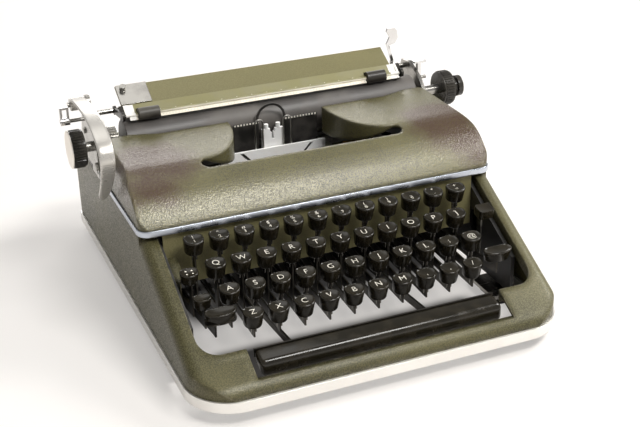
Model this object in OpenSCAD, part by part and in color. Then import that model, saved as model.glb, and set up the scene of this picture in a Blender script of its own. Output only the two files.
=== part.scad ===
// Portable typewriter with a hinged ribbon cover.
// X runs to the right, Y to the rear, Z up. Millimetres. The machine stands on Z = 0.

/* [Body] */
// Width of the base outline
body_w = 281; // [276:1:300]
// Depth of the base outline
body_d = 338; // [330:1:350]
// Height of the side walls above the table
wall_top_z = 87; // [86:0.5:87]
// Sheet thickness of the shell
shell_t = 2; // [1.2:0.1:2.6]
// Corner radius of the base outline at the front
front_corner_r = 34; // [24:1:40]
// Corner radius of the base outline at the rear
rear_corner_r = 5; // [4:1:12]
// Distance from the front edge to the top of the keyboard slope
slope_run = 127.3; // [127:0.1:130]
// Angle of the keyboard slope
slope_deg = 26.8; // [24:0.1:28]
// Radius of the rounded front edge
nose_r = 16; // [12:1:20]
// Radius of the rear top edge
rear_top_r = 10; // [4:1:14]
// Width of the rails beside the keyboard
rail_w = 12.5; // [12.5:0.1:13]
// Radius along the outer edges of the rails
rail_edge_r = 9; // [4:1:11]
// Depth of the lip turned down round the keyboard
lip_h = 8; // [4:1:12]
// Thickness of that lip
lip_t = 1.5; // [1:0.1:1.8]
// Distance from the front edge to the keyboard well
well_set_back = 30; // [26:1:31]
// Corner radius of the keyboard well
well_corner_r = 14; // [8:1:18]
// Height of the front wall's edge in front of the space bar
notch_z = 26; // [22:1:28]
// Clearance beside the space bar in its notch
notch_gap = 5; // [2:1:8]
// Width of the rim beside the open deck
deck_rim = 12.5; // [10:0.5:12.5]
// Depth of the closed deck at the rear
deck_d = 51; // [40:1:52]

/* [Base] */
// Height of the base strip's lower edge above the table
trim_z = 10; // [8:1:14]
// Height of the base strip
trim_h = 8; // [5:1:10]
// How far the base strip stands out from the shell
trim_proud = 1.2; // [0.4:0.1:2]
// Width of the ledge that the base strip has inside the outline
trim_ledge = 3; // [2:0.5:4]
// Width of a foot
foot_w = 14; // [10:1:18]
// Length of a foot
foot_l = 30; // [20:1:40]
// Thickness of the metal plate above each foot
foot_plate_t = 3; // [1:0.5:4]
// Distance from the side of the body to the middle of a foot
foot_inset = 14; // [10:1:18]
// Distance from the front edge to the middle of the front feet
foot_front = 82; // [60:1:110]
// Distance from the rear edge to the middle of the rear feet
foot_rear = 60; // [45:1:90]

/* [Ribbon cover] */
// Width of the ribbon cover
hood_w = 281; // [276:1:282]
// Distance from the front edge of the body to the cover
hood_set_back = 120.5; // [120:0.1:121]
// Depth of the cover at its ends
hood_d = 106.5; // [104:0.5:108]
// How far the middle of the cover stops short of its ends
hood_waist = 7; // [0:0.5:10]
// Height of the cover above its chrome strip
hood_h = 32; // [31:0.5:36]
// Sheet thickness of the cover
hood_t = 1.5; // [1:0.1:1.6]
// Radius of the cover's front corners in plan
hood_corner_r = 9; // [6:1:14]
// Radius along the cover's side edges
hood_side_r = 11; // [6:1:16]
// Height of the chrome strip under the cover
strip_h = 4.7; // [4:0.1:4.7]
// Thickness of the chrome strip under the cover
strip_t = 1.8; // [1.2:0.1:2]
// How far that strip stands out from the cover
strip_proud = 1.2; // [0.4:0.1:1.6]
// Distance from the cover's front to the opening
opening_back = 32.5; // [31:0.5:36]
// Distance from the middle to each eye of the opening
eye_x = 75.5; // [68:0.5:84]
// Radius of each eye
eye_r = 6; // [4:0.5:7]
// Half the gap between the two horns at the rear
horn_x = 40; // [34:1:46]
// Depth of the turned-down edge at a horn's corner
skirt_h = 22; // [10:1:26]
// Thickness of the turned-down edge
skirt_t = 1.3; // [0.8:0.1:1.6]
// Distance of the hinge pins from the middle
hinge_x = 112; // [106:1:116]
// Radius of the hinge pins
hinge_pin_r = 0.9; // [0.7:0.05:1]

/* [Keys] */
// Pitch of the keys along a row
key_pitch = 19; // [18.9:0.1:19.1]
// Distance from the cover's front to the first row
row_back = 11.1; // [10.5:0.1:13]
// Distance between the rows
row_dy = 18.75; // [18:0.25:19.5]
// Height step between the rows
row_dz = 11.55; // [10:0.25:12]
// Height of the first row's tops
row_top_z = 86.2; // [84:0.1:88]
// Width of a key top
cap_w = 15; // [12:0.25:15.5]
// Distance from a key top's middle to its flat rear
cap_back = 5.5; // [4:0.25:6]
// Height of a key top
cap_h = 11.5; // [9:0.5:12]
// Forward tilt of a key top
cap_tilt = 10; // [0:1:14]
// Radius of the dish in a key top
dish_r = 34; // [25:1:60]
// Depth of the dish in a key top
dish_h = 0.9; // [0.4:0.1:1.4]
// Thickness of the key levers
lever_t = 1.2; // [0.8:0.1:1.4]
// Height of the key lever bars
lever_h = 7; // [5:0.5:8]
// Height of the lever bars at the front
lever_front_z = 34.5; // [33:0.5:36]
// Distance of the lever shaft behind the middle of the body
lever_shaft_y = 95; // [92:1:100]
// Height of the lever shaft
lever_shaft_z = 40; // [39:0.5:42]
// Radius of the lever shaft
lever_shaft_r = 2.5; // [2:0.25:3]
// Play between a shaft and what turns on it
shaft_play = 0.05; // [0.02:0.01:0.08]
// Length of the space bar
space_w = 184; // [170:1:186]
// Depth of the space bar's top
space_d = 14; // [10:1:15]
// Height of the space bar's front face
space_h = 11.5; // [9:0.5:12]
// Distance from the front edge to the space bar
space_back = 16.5; // [15:0.5:18]
// Height of the space bar's top front edge
space_top_z = 34; // [32:0.5:36]
// Length of a shift key's top
shift_w = 23; // [18:0.5:23.5]
// Depth of a shift key's top
shift_d = 10.5; // [9:0.5:10.5]
// Distance of the shift levers from the frame's side plates
shift_lever_x = 15; // [14.7:0.1:15.5]

/* [Frame] */
// Distance from the body's side to a frame plate's outer face
frame_inset = 13; // [13:0.25:14]
// Thickness of the frame's side plates
frame_t = 3; // [2:0.25:3]
// Height of the frame's base flanges
flange_h = 4; // [2:0.5:6]
// Radius of the frame's cross rods
rod_r = 2.5; // [2:0.25:2.75]

/* [Type basket] */
// Place of the printing point along the line, from the middle of the body
print_x = -2; // [-4:0.5:4]
// Distance of the typebar pivots from the printing point, level
type_pivot_d = 31.6; // [30:0.1:33]
// Height of the typebar pivots
type_pivot_z = 64; // [62:0.5:65]
// Length of a typebar from its pivot to the middle of its slug
type_len = 62; // [60:0.5:63]
// Thickness of a typebar
type_t = 0.7; // [0.6:0.05:0.8]
// Upward slope of a resting typebar
type_rest_deg = 14; // [12:1:15]
// Angle between neighbouring typebars
type_step = 2.65; // [2.6:0.01:2.7]
// Number of typebars
type_count = 44; // [40:2:44]
// Radius of a ribbon spool
spool_r = 24; // [20:1:25]
// Height of a ribbon spool
spool_h = 14; // [12:0.5:15]
// Distance of the spools from the middle
spool_x = 92; // [90:1:93]

/* [Carriage] */
// Place of the carriage's middle along its travel, as photographed
carriage_x = 6.5; // [4:0.5:8]
// Length of the platen
platen_len = 249; // [240:1:252]
// Radius of the platen
platen_r = 16.5; // [15:0.25:16.75]
// Gap between the cover's ends and the platen, level
platen_gap = 0.5; // [0.5:0.25:3]
// Height of the platen's axis
platen_z = 113; // [112:0.5:115]
// Radius of the platen's shaft
platen_shaft_r = 4; // [3:0.25:5]
// Radius of the platen knobs
knob_r = 15; // [12:0.5:15]
// Width of the left knob
knob_left_w = 11; // [8:0.5:12]
// Width of the right knob
knob_right_w = 10; // [9.5:0.5:12]
// Number of ribs round a knob
knob_ribs = 40; // [24:2:48]
// Radius of the small button in the right knob
button_r = 9; // [7:0.5:11]
// Travel of that button
button_travel = 3; // [2:0.5:4]
// Thickness of the carriage's end plates
end_plate_t = 3; // [2:0.25:3]
// Height of the carriage bed's underside
bed_z = 92; // [91:0.5:92]
// Thickness of the carriage bed
bed_t = 3; // [2:0.25:3]
// Length of the bail's scale
scale_len = 231; // [225:1:233]
// Width of the bail's scale
scale_w = 14; // [10:0.5:14.5]
// Radius of a bail roller
bail_roller_r = 5; // [4:0.25:5]
// Length of a bail roller
bail_roller_len = 17; // [12:0.5:20]
// Distance of a bail roller from the carriage's middle
bail_roller_x = 97.3; // [80:0.1:100]
// Length of the paper table
table_len = 233; // [225:1:233]
// Slope of the paper table
table_deg = 29; // [24:1:34]
// Width of the paper table's sloping face
table_w = 21.5; // [18:0.5:24]
// Width of the side paper guide
paper_guide_w = 25; // [15:1:30]
// Width of the return lever's band
return_w = 12; // [8:0.5:12]
// Thickness of the return lever's band
return_t = 2.4; // [1.6:0.1:3]

/* [Hidden] */
$fn = 48;

// Clearance between pieces that move past each other
run_gap = 0.3;
// Overlap used only to cut cleanly through a face
cut = 1;

// Main places
front_y = -body_d / 2;
rear_y = body_d / 2;
side_x = body_w / 2;
trim_top = trim_z + trim_h;
slope_top_y = front_y + slope_run;
well_front_y = front_y + well_set_back;
well_x = side_x - rail_w;
deck_rear_y = rear_y - deck_d;
hood_front_y = front_y + hood_set_back;
hood_rear_y = hood_front_y + hood_d;
strip_z = wall_top_z + run_gap;
strip_top = strip_z + strip_h;
hood_top_z = strip_top + hood_h;
cover_axis_y = hood_front_y + hood_t + hinge_pin_r + 0.8;
cover_axis_z = strip_top + run_gap;
// The strip's lower part stands back, so that it clears the body while the cover tips up
strip_foot_h = strip_proud;
strip_sweep = max(
    norm([cover_axis_y - hood_front_y, cover_axis_z - strip_z]),
    norm([cover_axis_y - hood_front_y + strip_proud, cover_axis_z - strip_z - strip_foot_h])
);
sweep_low_z = cover_axis_z - strip_sweep - run_gap;
frame_out = side_x - frame_inset;
frame_in = frame_out - frame_t;
frame_top = trim_top + 62;
cup_floor_z = frame_top + 6;
platen_y = hood_rear_y + platen_r + platen_gap;
print_gap = 0.9;
print_y = platen_y - platen_r - print_gap;

// Rods of the frame, as [y, z]
shift_rod = [30, 22];
space_rod = [-5, 15];
rear_rods = [[rear_y - 59, 25], [rear_y - 24, 30]];

// Keys: width kept free beside each row, how many fit, and how far each row's middle lies from the body's
row_room = [40, 59, 59, 78];
row_count = [for (room = row_room) floor((2 * frame_in - room) / key_pitch + 1.01)];
row_mid = [-1, -1, 2, 2.5];
center_row = 2;
center_key = 5;
function key_x(r, i) = row_mid[r] + (i - (row_count[r] - 1) / 2) * key_pitch;
function row_y(r) = hood_front_y - row_back - r * row_dy;
function row_z(r) = row_top_z - r * row_dz;
space_arm_x = [(key_x(1, 2) + key_x(3, 1)) / 2, (key_x(2, 7) + key_x(0, 8)) / 2];

// Carriage places
platen_x0 = carriage_x - platen_len / 2;
platen_x1 = carriage_x + platen_len / 2;
left_plate_x = platen_x0 - 25;
right_plate_x = platen_x1 + 6;
right_plate_out = right_plate_x + end_plate_t;
knob_left_x = left_plate_x - 7 - knob_left_w;
knob_right_x = right_plate_out + 19;
button_w = 10.5;
button_out = knob_right_x + knob_right_w + button_w;
bed_top = bed_z + bed_t;
bed_y0 = platen_y + 9;
bed_y1 = platen_y + 37;
rail_y0 = platen_y + 13;
rail_w_y = 12;
rail_h = 18;
rail_room = 1;
bail_rod = [platen_y + 22, platen_z + 18];
bail_rod_r = 2;
bail_roll_yz = [platen_y - 4.5, platen_z + platen_r + bail_roller_r + 0.1];
return_pivot = [platen_y + 9, platen_z + 33];
selector_out = knob_left_x - 3.5;
table_low = [platen_y + 11, platen_z + 23.8];
release_pivot = [platen_y + 27, platen_z + 15];
thumb_pivot = [platen_y + 5, platen_z + 11];
feed_yz = [platen_y - 10.5, platen_z - 17.7];
feed_r = 3.6;

// The whole machine's box is centred over the origin
machine_shift = -(selector_out + button_out) / 2;

// Points along an arc
function arc(c, r, a0, a1, n) =
    [for (i = [0:n]) let (a = a0 + (a1 - a0) * i / n) [c[0] + r * cos(a), c[1] + r * sin(a)]];

// Points along a cubic curve with four control points
function curve(p, n) =
    [for (i = [0:n]) let (t = i / n, s = 1 - t)
        s * s * s * p[0] + 3 * s * s * t * p[1] + 3 * s * t * t * p[2] + t * t * t * p[3]];

// Outline of a band of thickness w along a list of points
function side_step(p, i) =
    let (a = p[max(i - 1, 0)], b = p[min(i + 1, len(p) - 1)], d = (b - a) / norm(b - a)) [-d[1], d[0]];
function band(p, w) = concat(
    [for (i = [0:len(p) - 1]) p[i] + side_step(p, i) * w / 2],
    [for (i = [len(p) - 1:-1:0]) p[i] - side_step(p, i) * w / 2]
);

// A shape drawn as (y, z), standing from x to x + t
module along_x(x, t) { translate([x, 0, 0]) rotate([90, 0, 90]) linear_extrude(t) children(); }

// A shape drawn as (x, z), standing from y to y + t
module along_y(y, t) { translate([0, y + t, 0]) rotate([90, 0, 0]) linear_extrude(t) children(); }

// A shape drawn as (x, y), standing from z to z + t
module along_z(z, t) { translate([0, 0, z]) linear_extrude(t) children(); }

// A rod along X through (y, z)
module rod_x(x0, x1, yz, r) {
    translate([x0, yz[0], yz[1]]) rotate([0, 90, 0]) cylinder(r = r, h = x1 - x0);
}

// A rod along Y through (x, z)
module rod_y(y0, y1, xz, r) {
    translate([xz[0], y1, xz[1]]) rotate([90, 0, 0]) cylinder(r = r, h = y1 - y0);
}

// A rectangle with its four corners rounded
module round_rect(w, d, r) {
    square([w, d - 2 * r], center = true);
    square([w - 2 * r, d], center = true);
    for (sx = [-1, 1], sy = [-1, 1]) translate([sx * (w / 2 - r), sy * (d / 2 - r)]) circle(r = r);
}

// Plan of the body, grown or shrunk by one distance
module body_plan(grow) {
    w = side_x + grow;
    d = body_d / 2 + grow;
    rf = front_corner_r + grow;
    rr = rear_corner_r + grow;
    translate([-w, -d + rf]) square([2 * w, 2 * d - rf - rr]);
    translate([-w + rf, -d]) square([2 * (w - rf), d]);
    translate([-w + rr, 0]) square([2 * (w - rr), d]);
    for (s = [-1, 1]) {
        translate([s * (w - rf), -d + rf]) circle(r = rf);
        translate([s * (w - rr), d - rr]) circle(r = rr);
    }
}

// Side view of the body: rounded nose, keyboard slope, level top, rounded rear edge
module body_side(inset, low) {
    nose_c = [
        front_y + nose_r,
        wall_top_z + tan(slope_deg) * (front_y + nose_r - slope_top_y) - nose_r / cos(slope_deg)
    ];
    rear_c = [rear_y - rear_top_r, wall_top_z - rear_top_r];
    top = wall_top_z - inset;
    meet_y = slope_top_y + (inset / cos(slope_deg) - inset) / tan(slope_deg);
    deep = min(low, nose_c[1]) - cut;
    polygon(concat(
        [[front_y + inset, deep]],
        arc(nose_c, nose_r - inset, 180, 90 + slope_deg, 8),
        [[meet_y, top]],
        arc(rear_c, rear_top_r - inset, 90, 0, 6),
        [[rear_y - inset, deep]]
    ));
}

// Space under the keyboard slope, with its two long edges rounded
module slope_space(inset) {
    w = side_x - inset;
    r = max(rail_edge_r - inset, 1);
    reach = 2 * body_d;
    translate([0, slope_top_y, wall_top_z]) rotate([slope_deg, 0, 0]) along_y(-reach, reach + 2 * nose_r) {
        translate([-w, -reach]) square([2 * w, reach - inset - r]);
        translate([-w + r, -reach]) square([2 * (w - r), reach - inset]);
        for (s = [-1, 1]) translate([s * (w - r), -inset - r]) circle(r = r);
    }
    translate([-side_x, slope_top_y, 0]) cube([body_w, body_d, 2 * wall_top_z]);
}

module body_form(inset, low) {
    intersection() {
        along_z(low, wall_top_z - low + cut) body_plan(-inset);
        along_x(-side_x, body_w) body_side(inset, low);
        slope_space(inset);
    }
}

// Plan of the keyboard well
module well_plan(grow) {
    w = well_x + grow;
    y0 = well_front_y - grow;
    r = well_corner_r + grow;
    translate([-w, y0 + r]) square([2 * w, slope_top_y - y0 - r]);
    translate([-w + r, y0]) square([2 * (w - r), slope_top_y - y0]);
    for (s = [-1, 1]) translate([s * (w - r), y0 + r]) circle(r = r);
}

module body_shell() {
    deck_x = side_x - deck_rim;
    notch_x = space_w / 2 + notch_gap;
    color("#6b6a4c") difference() {
        union() {
            difference() {
                body_form(0, trim_top);
                body_form(shell_t, trim_top - cut);
            }
            intersection() {
                difference() {
                    along_z(trim_top, wall_top_z) well_plan(lip_t);
                    along_x(-side_x, body_w) body_side(lip_h, trim_z);
                }
                body_form(0, trim_top);
                translate([-side_x, front_y, 0]) cube([body_w, slope_run, wall_top_z]);
            }
        }
        along_z(trim_top - cut, wall_top_z) well_plan(0);
        translate([-deck_x, slope_top_y - cut, trim_top - cut])
            cube([2 * deck_x, deck_rear_y - slope_top_y + cut, wall_top_z]);
        translate([-notch_x, front_y - cut, notch_z])
            cube([2 * notch_x, well_set_back + 2 * cut, wall_top_z]);
        translate([-frame_in - rail_room, rail_y0 - rail_room, bed_z - rail_h - rail_room])
            cube([2 * (frame_in + rail_room), wheel_y + wheel_w - rail_y0 + 2 * rail_room, rail_h]);
    }
}

module base_trim() {
    color("#d9d9dc") along_z(trim_z, trim_h) difference() {
        body_plan(trim_proud);
        body_plan(-trim_ledge);
    }
}

// The four places of the feet
module at_feet() {
    for (s = [-1, 1], y = [front_y + foot_front, rear_y - foot_rear])
        translate([s * (side_x - foot_inset), y, 0]) children();
}

module rubber_feet() {
    color("#1c1c1c") at_feet() linear_extrude(trim_z - foot_plate_t) round_rect(foot_w, foot_l, 4);
}

module foot_plates() {
    reach = 2 * (foot_inset - trim_proud);
    color("#b9babd") at_feet() translate([0, 0, trim_z - foot_plate_t]) linear_extrude(foot_plate_t)
        round_rect(reach, foot_l + 6, 3);
}

// Side view of a frame plate, kept under the sloping rails
module frame_side() {
    drop = 8;
    low = trim_top - flange_h;
    rail_under = function (y) wall_top_z + tan(slope_deg) * (min(y, slope_top_y) - slope_top_y) - drop;
    plate_front = front_y + 59;
    plate_rear = rear_y - 19;
    cup_y = [spool_y - 44, spool_y + 34];
    shoulder_y = hood_front_y + 2.5;
    difference() {
        polygon([
            [plate_front, low], [plate_front, rail_under(plate_front)], [shoulder_y, rail_under(shoulder_y)],
            [cup_y[0], cup_floor_z], [cup_y[1], cup_floor_z], [cup_y[1] + 16, frame_top],
            [plate_rear, frame_top], [plate_rear, low]
        ]);
        translate([75, 62]) circle(r = 9);
        translate([-55, 50]) circle(r = 10);
        translate([-12, 48]) circle(r = 12);
    }
}

module hinge_arm() {
    arm_t = 3;
    arm_r = 1.15;
    post_y = [cover_axis_y + 11, cover_axis_y + 17];
    along_x(hinge_x, arm_t) {
        polygon([
            [post_y[0], frame_top - 4], [post_y[1], frame_top - 4], [post_y[1], cover_axis_z + arm_r],
            [cover_axis_y, cover_axis_z + arm_r], [cover_axis_y, cover_axis_z - arm_r],
            [post_y[0], cover_axis_z - 2]
        ]);
        translate([cover_axis_y, cover_axis_z]) circle(r = arm_r);
    }
    rod_x(hinge_x - 4, hinge_x + arm_t, [cover_axis_y, cover_axis_z], hinge_pin_r);
    translate([hinge_x, post_y[0], frame_top - 4]) cube([frame_in - hinge_x + cut, post_y[1] - post_y[0], 5]);
}

module main_frame() {
    flange_x = side_x - trim_ledge;
    color("#262628") union() {
        for (s = [0, 1]) mirror([s, 0, 0]) {
            along_x(frame_in, frame_t) frame_side();
            translate([frame_in, -80, trim_top - flange_h])
                cube([flange_x - frame_in, 190, flange_h - 0.5]);
            hinge_arm();
        }
        for (r = concat([shift_rod, space_rod], rear_rods)) rod_x(-frame_in - cut, frame_in + cut, r, rod_r);
    }
}

module key_well_panel() {
    panel_t = 1.5;
    panel_y = cover_axis_y - 1.2;
    low_z = 45;
    color("#6b6a4c") translate([-frame_in, panel_y, low_z])
        cube([2 * frame_in, panel_t, sweep_low_z - low_z]);
}

module lever_comb() {
    comb_y = 60;
    comb_t = 3;
    comb_z = [22, 30, 46];
    slot_w = lever_t + 0.8;
    color("#8f9092") difference() {
        translate([-frame_in, comb_y, comb_z[0]]) cube([2 * frame_in, comb_t, comb_z[2] - comb_z[0]]);
        for (r = [0:3], i = [0:row_count[r] - 1])
            translate([key_x(r, i) - slot_w / 2, comb_y - cut, comb_z[1]])
                cube([slot_w, comb_t + 2 * cut, comb_z[2]]);
    }
}

module key_lever_shaft() {
    color("#b9babd") rod_x(-frame_in, frame_in, [lever_shaft_y, lever_shaft_z], lever_shaft_r);
}

// Typebars fan out round the printing point
function type_angle(i) = (i - type_count / 2) * type_step;
module at_type(a) { translate([print_x, print_y, 0]) rotate([0, 0, a]) children(); }
fan_deg = type_count / 2 * type_step + 4;
module fan_ring(r0, r1) {
    reach = 3 * r1;
    translate([print_x, print_y]) intersection() {
        difference() {
            circle(r = r1);
            circle(r = r0);
        }
        polygon([[0, 0], [-reach * sin(fan_deg), -reach * cos(fan_deg)], [0, -reach],
            [reach * sin(fan_deg), -reach * cos(fan_deg)]]);
    }
}

// Each typebar turns on a short pin across its slot in the segment
type_pin_r = 0.75;
type_slot_w = type_t + 0.2;

// One typebar, drawn as (y, z) in its own plane at rest, with the printing point's line at y = 0
module typebar_side() {
    root_h = 4;
    tip_h = 2.6;
    boss_r = 2.6;
    translate([-type_pivot_d, type_pivot_z]) rotate(-type_rest_deg) difference() {
        union() {
            polygon([[0, -root_h / 2], [0, root_h / 2], [-type_len, tip_h / 2], [-type_len, -tip_h / 2]]);
            circle(r = boss_r);
        }
        circle(r = type_pin_r + shaft_play);
    }
}

module typebar() {
    slug_w = 2.8;
    slug_len = 7;
    slug_h = 3.4;
    slug_lift = 0.6;
    along_x(-type_t / 2, type_t) typebar_side();
    translate([0, -type_pivot_d, type_pivot_z]) rotate([-type_rest_deg, 0, 0])
        translate([-slug_w / 2, -type_len - slug_len / 2, -slug_h / 2 + slug_lift])
            cube([slug_w, slug_len, slug_h]);
}

module segment() {
    half_w = 7;
    pin_seat = 0.2;
    ring_z = [type_pivot_z - 8, type_pivot_z - 4, type_pivot_z + 6];
    bar_y = print_y - type_pivot_d - half_w;
    post_x = [42, 48];
    post_y = [print_y - 8.6, print_y - 2];
    bar_z = ring_z[0] - 6;
    color("#9a9a96") union() {
        for (i = [0:type_count - 1]) at_type(type_angle(i))
            rod_x(-type_slot_w / 2 - pin_seat, type_slot_w / 2 + pin_seat, [-type_pivot_d, type_pivot_z],
                type_pin_r);
        difference() {
            along_z(ring_z[0], ring_z[2] - ring_z[0]) fan_ring(type_pivot_d - half_w, type_pivot_d + half_w);
            for (i = [0:type_count - 1]) at_type(type_angle(i))
                translate([-type_slot_w / 2, -type_pivot_d - 2 * half_w, ring_z[1]])
                    cube([type_slot_w, 4 * half_w, ring_z[2]]);
        }
        translate([-frame_in, bar_y, bar_z]) cube([2 * frame_in, 15, ring_z[0] - bar_z]);
        for (s = [0, 1]) mirror([s, 0, 0]) {
            translate([post_x[0], bar_y, bar_z])
                cube([post_x[1] - post_x[0], post_y[1] - bar_y, ring_z[0] - bar_z]);
            translate([post_x[0], post_y[0], bar_z])
                cube([post_x[1] - post_x[0], post_y[1] - post_y[0], 44]);
        }
    }
}

module typebars() {
    color("#a8a8a4") for (i = [0:type_count - 1]) if (type_angle(i) != 0) at_type(type_angle(i)) typebar();
}

module typebar_center() { color("#a8a8a4") at_type(0) typebar(); }

module type_rest() {
    rest_r = [78, 84];
    bar_depth = 6;
    low_z = type_pivot_z - 4;
    rest_z = type_pivot_z + (rest_r[0] - type_pivot_d) * tan(type_rest_deg) - 2.2;
    color("#55524a") {
        along_z(low_z, rest_z - low_z) fan_ring(rest_r[0], rest_r[1]);
        translate([-frame_in, print_y - rest_r[1], low_z - bar_depth])
            cube([2 * frame_in, bar_depth + 16, bar_depth]);
    }
}

// Places of the plates round the printing point
guide_low_z = 84;
plate_y = print_y - 8.6;
plate_t = 1.5;
scale_plate_y = print_y - 2;
scale_plate_t = 1;
guide_post_x = 42;
low_strip_h = 10;

module type_guide() {
    guide_w = 18;
    guide_t = 3;
    guide_z = [guide_low_z, platen_z - 1.5];
    slit_w = 1.6;
    slit_z = platen_z - 10;
    eye = 2.2;
    peg_r = 1.8;
    peg_h = 4;
    color("#e4e4e2") translate([print_x, 0, 0]) {
        along_y(scale_plate_y - guide_t, guide_t) difference() {
            translate([-guide_w / 2, guide_z[0]]) square([guide_w, guide_z[1] - guide_z[0]]);
            translate([-slit_w / 2, slit_z]) square([slit_w, guide_z[1]]);
            translate([0, guide_z[1] - 1]) circle(r = eye);
        }
        for (s = [-1, 1]) translate([s * 5, scale_plate_y - guide_t / 2, guide_z[1]])
            cylinder(r = peg_r, h = peg_h);
    }
}

module guide_bracket() {
    front_z = guide_low_z + 13;
    slot_x = [22, 30];
    slot_w = 3;
    block_x = guide_post_x - 4;
    color("#cfcfcd") {
        along_y(plate_y, plate_t) difference() {
            translate([-guide_post_x, guide_low_z]) square([2 * guide_post_x, front_z - guide_low_z]);
            for (s = [-1, 1]) polygon([
                [s * slot_x[0] - slot_w / 2, guide_low_z + 3], [s * slot_x[0] + slot_w / 2, guide_low_z + 3],
                [s * slot_x[1] + slot_w / 2, front_z - 1.5], [s * slot_x[1] - slot_w / 2, front_z - 1.5]
            ]);
        }
        for (s = [-1, 1]) translate([s < 0 ? -guide_post_x : block_x, plate_y, guide_low_z])
            cube([4, scale_plate_y - plate_y, low_strip_h]);
    }
}

module line_scale() {
    scale_z = platen_z + 5;
    scales = [[-34, -13], [10, 38]];
    arch_r = [10.5, 12.5];
    arch_z = scale_z + 1.5;
    leg_w = arch_r[1] - arch_r[0];
    leg_h = 21.5;
    color("#2b2b2d") {
        along_y(scale_plate_y, scale_plate_t) {
            translate([-guide_post_x, guide_low_z]) square([2 * guide_post_x, low_strip_h]);
            for (s = scales) translate([s[0], guide_low_z]) square([s[1] - s[0], scale_z - guide_low_z]);
        }
        along_y(scale_plate_y, scale_plate_t) translate([print_x, 0]) {
            intersection() {
                translate([0, arch_z]) difference() {
                    circle(r = arch_r[1]);
                    circle(r = arch_r[0]);
                }
                translate([-20, arch_z]) square([40, 40]);
            }
            for (s = [-1, 1]) translate([s * (arch_r[0] + arch_r[1]) / 2 - leg_w / 2, arch_z - leg_h])
                square([leg_w, leg_h]);
        }
    }
}

module ribbon_vibrator() {
    wire_r = 0.6;
    loop_x = 12;
    loop_r = 3.2;
    loop_z = platen_z + 5;
    base_z = [guide_low_z + 2, guide_low_z + 10];
    base_w = 32;
    base_t = 1.2;
    base_y = plate_y + plate_t;
    wire_y = base_y + wire_r + 0.15;
    color("#8c8c8c") translate([print_x, 0, 0]) {
        along_y(base_y, base_t) translate([-base_w / 2, base_z[0]]) square([base_w, base_z[1] - base_z[0]]);
        for (s = [-1, 1]) translate([s * loop_x, wire_y, 0]) {
            translate([0, 0, loop_z]) rotate([90, 0, 0]) rotate_extrude(angle = 180)
                translate([loop_r, 0]) circle(r = wire_r);
            for (e = [-1, 1]) translate([e * loop_r, 0, base_z[1] - cut])
                cylinder(r = wire_r, h = loop_z - base_z[1] + cut);
        }
    }
}

spool_y = hood_front_y + 56.5;
spool_post_r = 3;
cup_t = 1.2;
cup_plate_t = 2;
module spool_cups() {
    cup_r = spool_r + 3;
    plate_w = 36;
    wall_h = spool_h + 1;
    color("#2f2f30") for (s = [0, 1]) mirror([s, 0, 0]) translate([0, spool_y, cup_floor_z]) {
        translate([spool_x - 20, -plate_w / 2, 0]) cube([frame_out - spool_x + 20, plate_w, cup_plate_t]);
        translate([spool_x, 0, cup_plate_t]) {
            difference() {
                cylinder(r = cup_r, h = wall_h);
                translate([0, 0, cup_t]) cylinder(r = cup_r - cup_t, h = wall_h);
            }
            cylinder(r = spool_post_r, h = wall_h + 4);
        }
    }
}

module ribbon_spool(s) {
    core_r = 9;
    flange_t = 1;
    window_r = 4;
    low_z = cup_floor_z + cup_plate_t + cup_t;
    color("#4a4a4c") translate([s * spool_x, spool_y, low_z]) difference() {
        union() {
            cylinder(r = core_r, h = spool_h);
            for (z = [0, spool_h - flange_t]) translate([0, 0, z]) cylinder(r = spool_r, h = flange_t);
        }
        translate([0, 0, -cut]) cylinder(r = spool_post_r + shaft_play, h = spool_h + 2 * cut);
        for (a = [0:120:240]) rotate(a) translate([core_r + 7, 0, -cut])
            cylinder(r = window_r, h = spool_h + 2 * cut);
    }
}

// Carriage drive, on studs behind the rail
stud_r = 2;
wheel_r = 10;
wheel_y = rail_y0 + rail_w_y + 3;
wheel_w = 4;
wheel_z = bed_z - 4 - run_gap - wheel_r;
drum_x = 29.5 - frame_in;
drum_z = 66;
drum_r = 20;
drum_w = 10;
bell_yz = [rear_y - 34, 58];
bell_x = frame_in - 24.5;
bell_r = 16;

module carriage_rail() {
    groove = 1.5;
    bracket_w = 14;
    bracket_t = 2;
    color("#a5a6a8") {
        difference() {
            translate([-frame_in, rail_y0, bed_z - rail_h]) cube([2 * frame_in, rail_w_y, rail_h]);
            for (y = [rail_y0, rail_y0 + rail_w_y]) translate([0, y, bed_z - rail_h / 2])
                rotate([45, 0, 0]) cube([2 * frame_in + 2 * cut, groove, groove], center = true);
        }
        rod_y(rail_y0 + rail_w_y - cut, wheel_y + wheel_w + 2, [0, wheel_z], stud_r);
        rod_y(rail_y0 + rail_w_y - cut, wheel_y + drum_w + 2, [drum_x, drum_z], stud_r);
        translate([drum_x - bracket_w / 2, rail_y0 + rail_w_y - cut, drum_z - bracket_w / 2])
            cube([bracket_w, bracket_t + cut, bed_z - rail_h / 2 - drum_z]);
    }
}

module bell() {
    wall = 1.2;
    color("#c9b37a") {
        translate([bell_x, bell_yz[0], bell_yz[1]]) rotate([0, 90, 0]) rotate_extrude() difference() {
            intersection() {
                difference() {
                    circle(r = bell_r);
                    circle(r = bell_r - wall);
                }
                square(bell_r + cut);
            }
            square([stud_r, bell_r + cut]);
        }
        rod_x(bell_x + bell_r - wall - 4, frame_in, bell_yz, stud_r);
    }
}

// A wheel with straight-sided teeth, drawn flat
module toothed(r, depth, teeth) {
    step = 360 / teeth;
    polygon([for (i = [0:teeth - 1], k = [0:3])
        let (a = step * (i + k / 4), q = (k == 1 || k == 2) ? r : r - depth) [q * cos(a), q * sin(a)]]);
}

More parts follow.
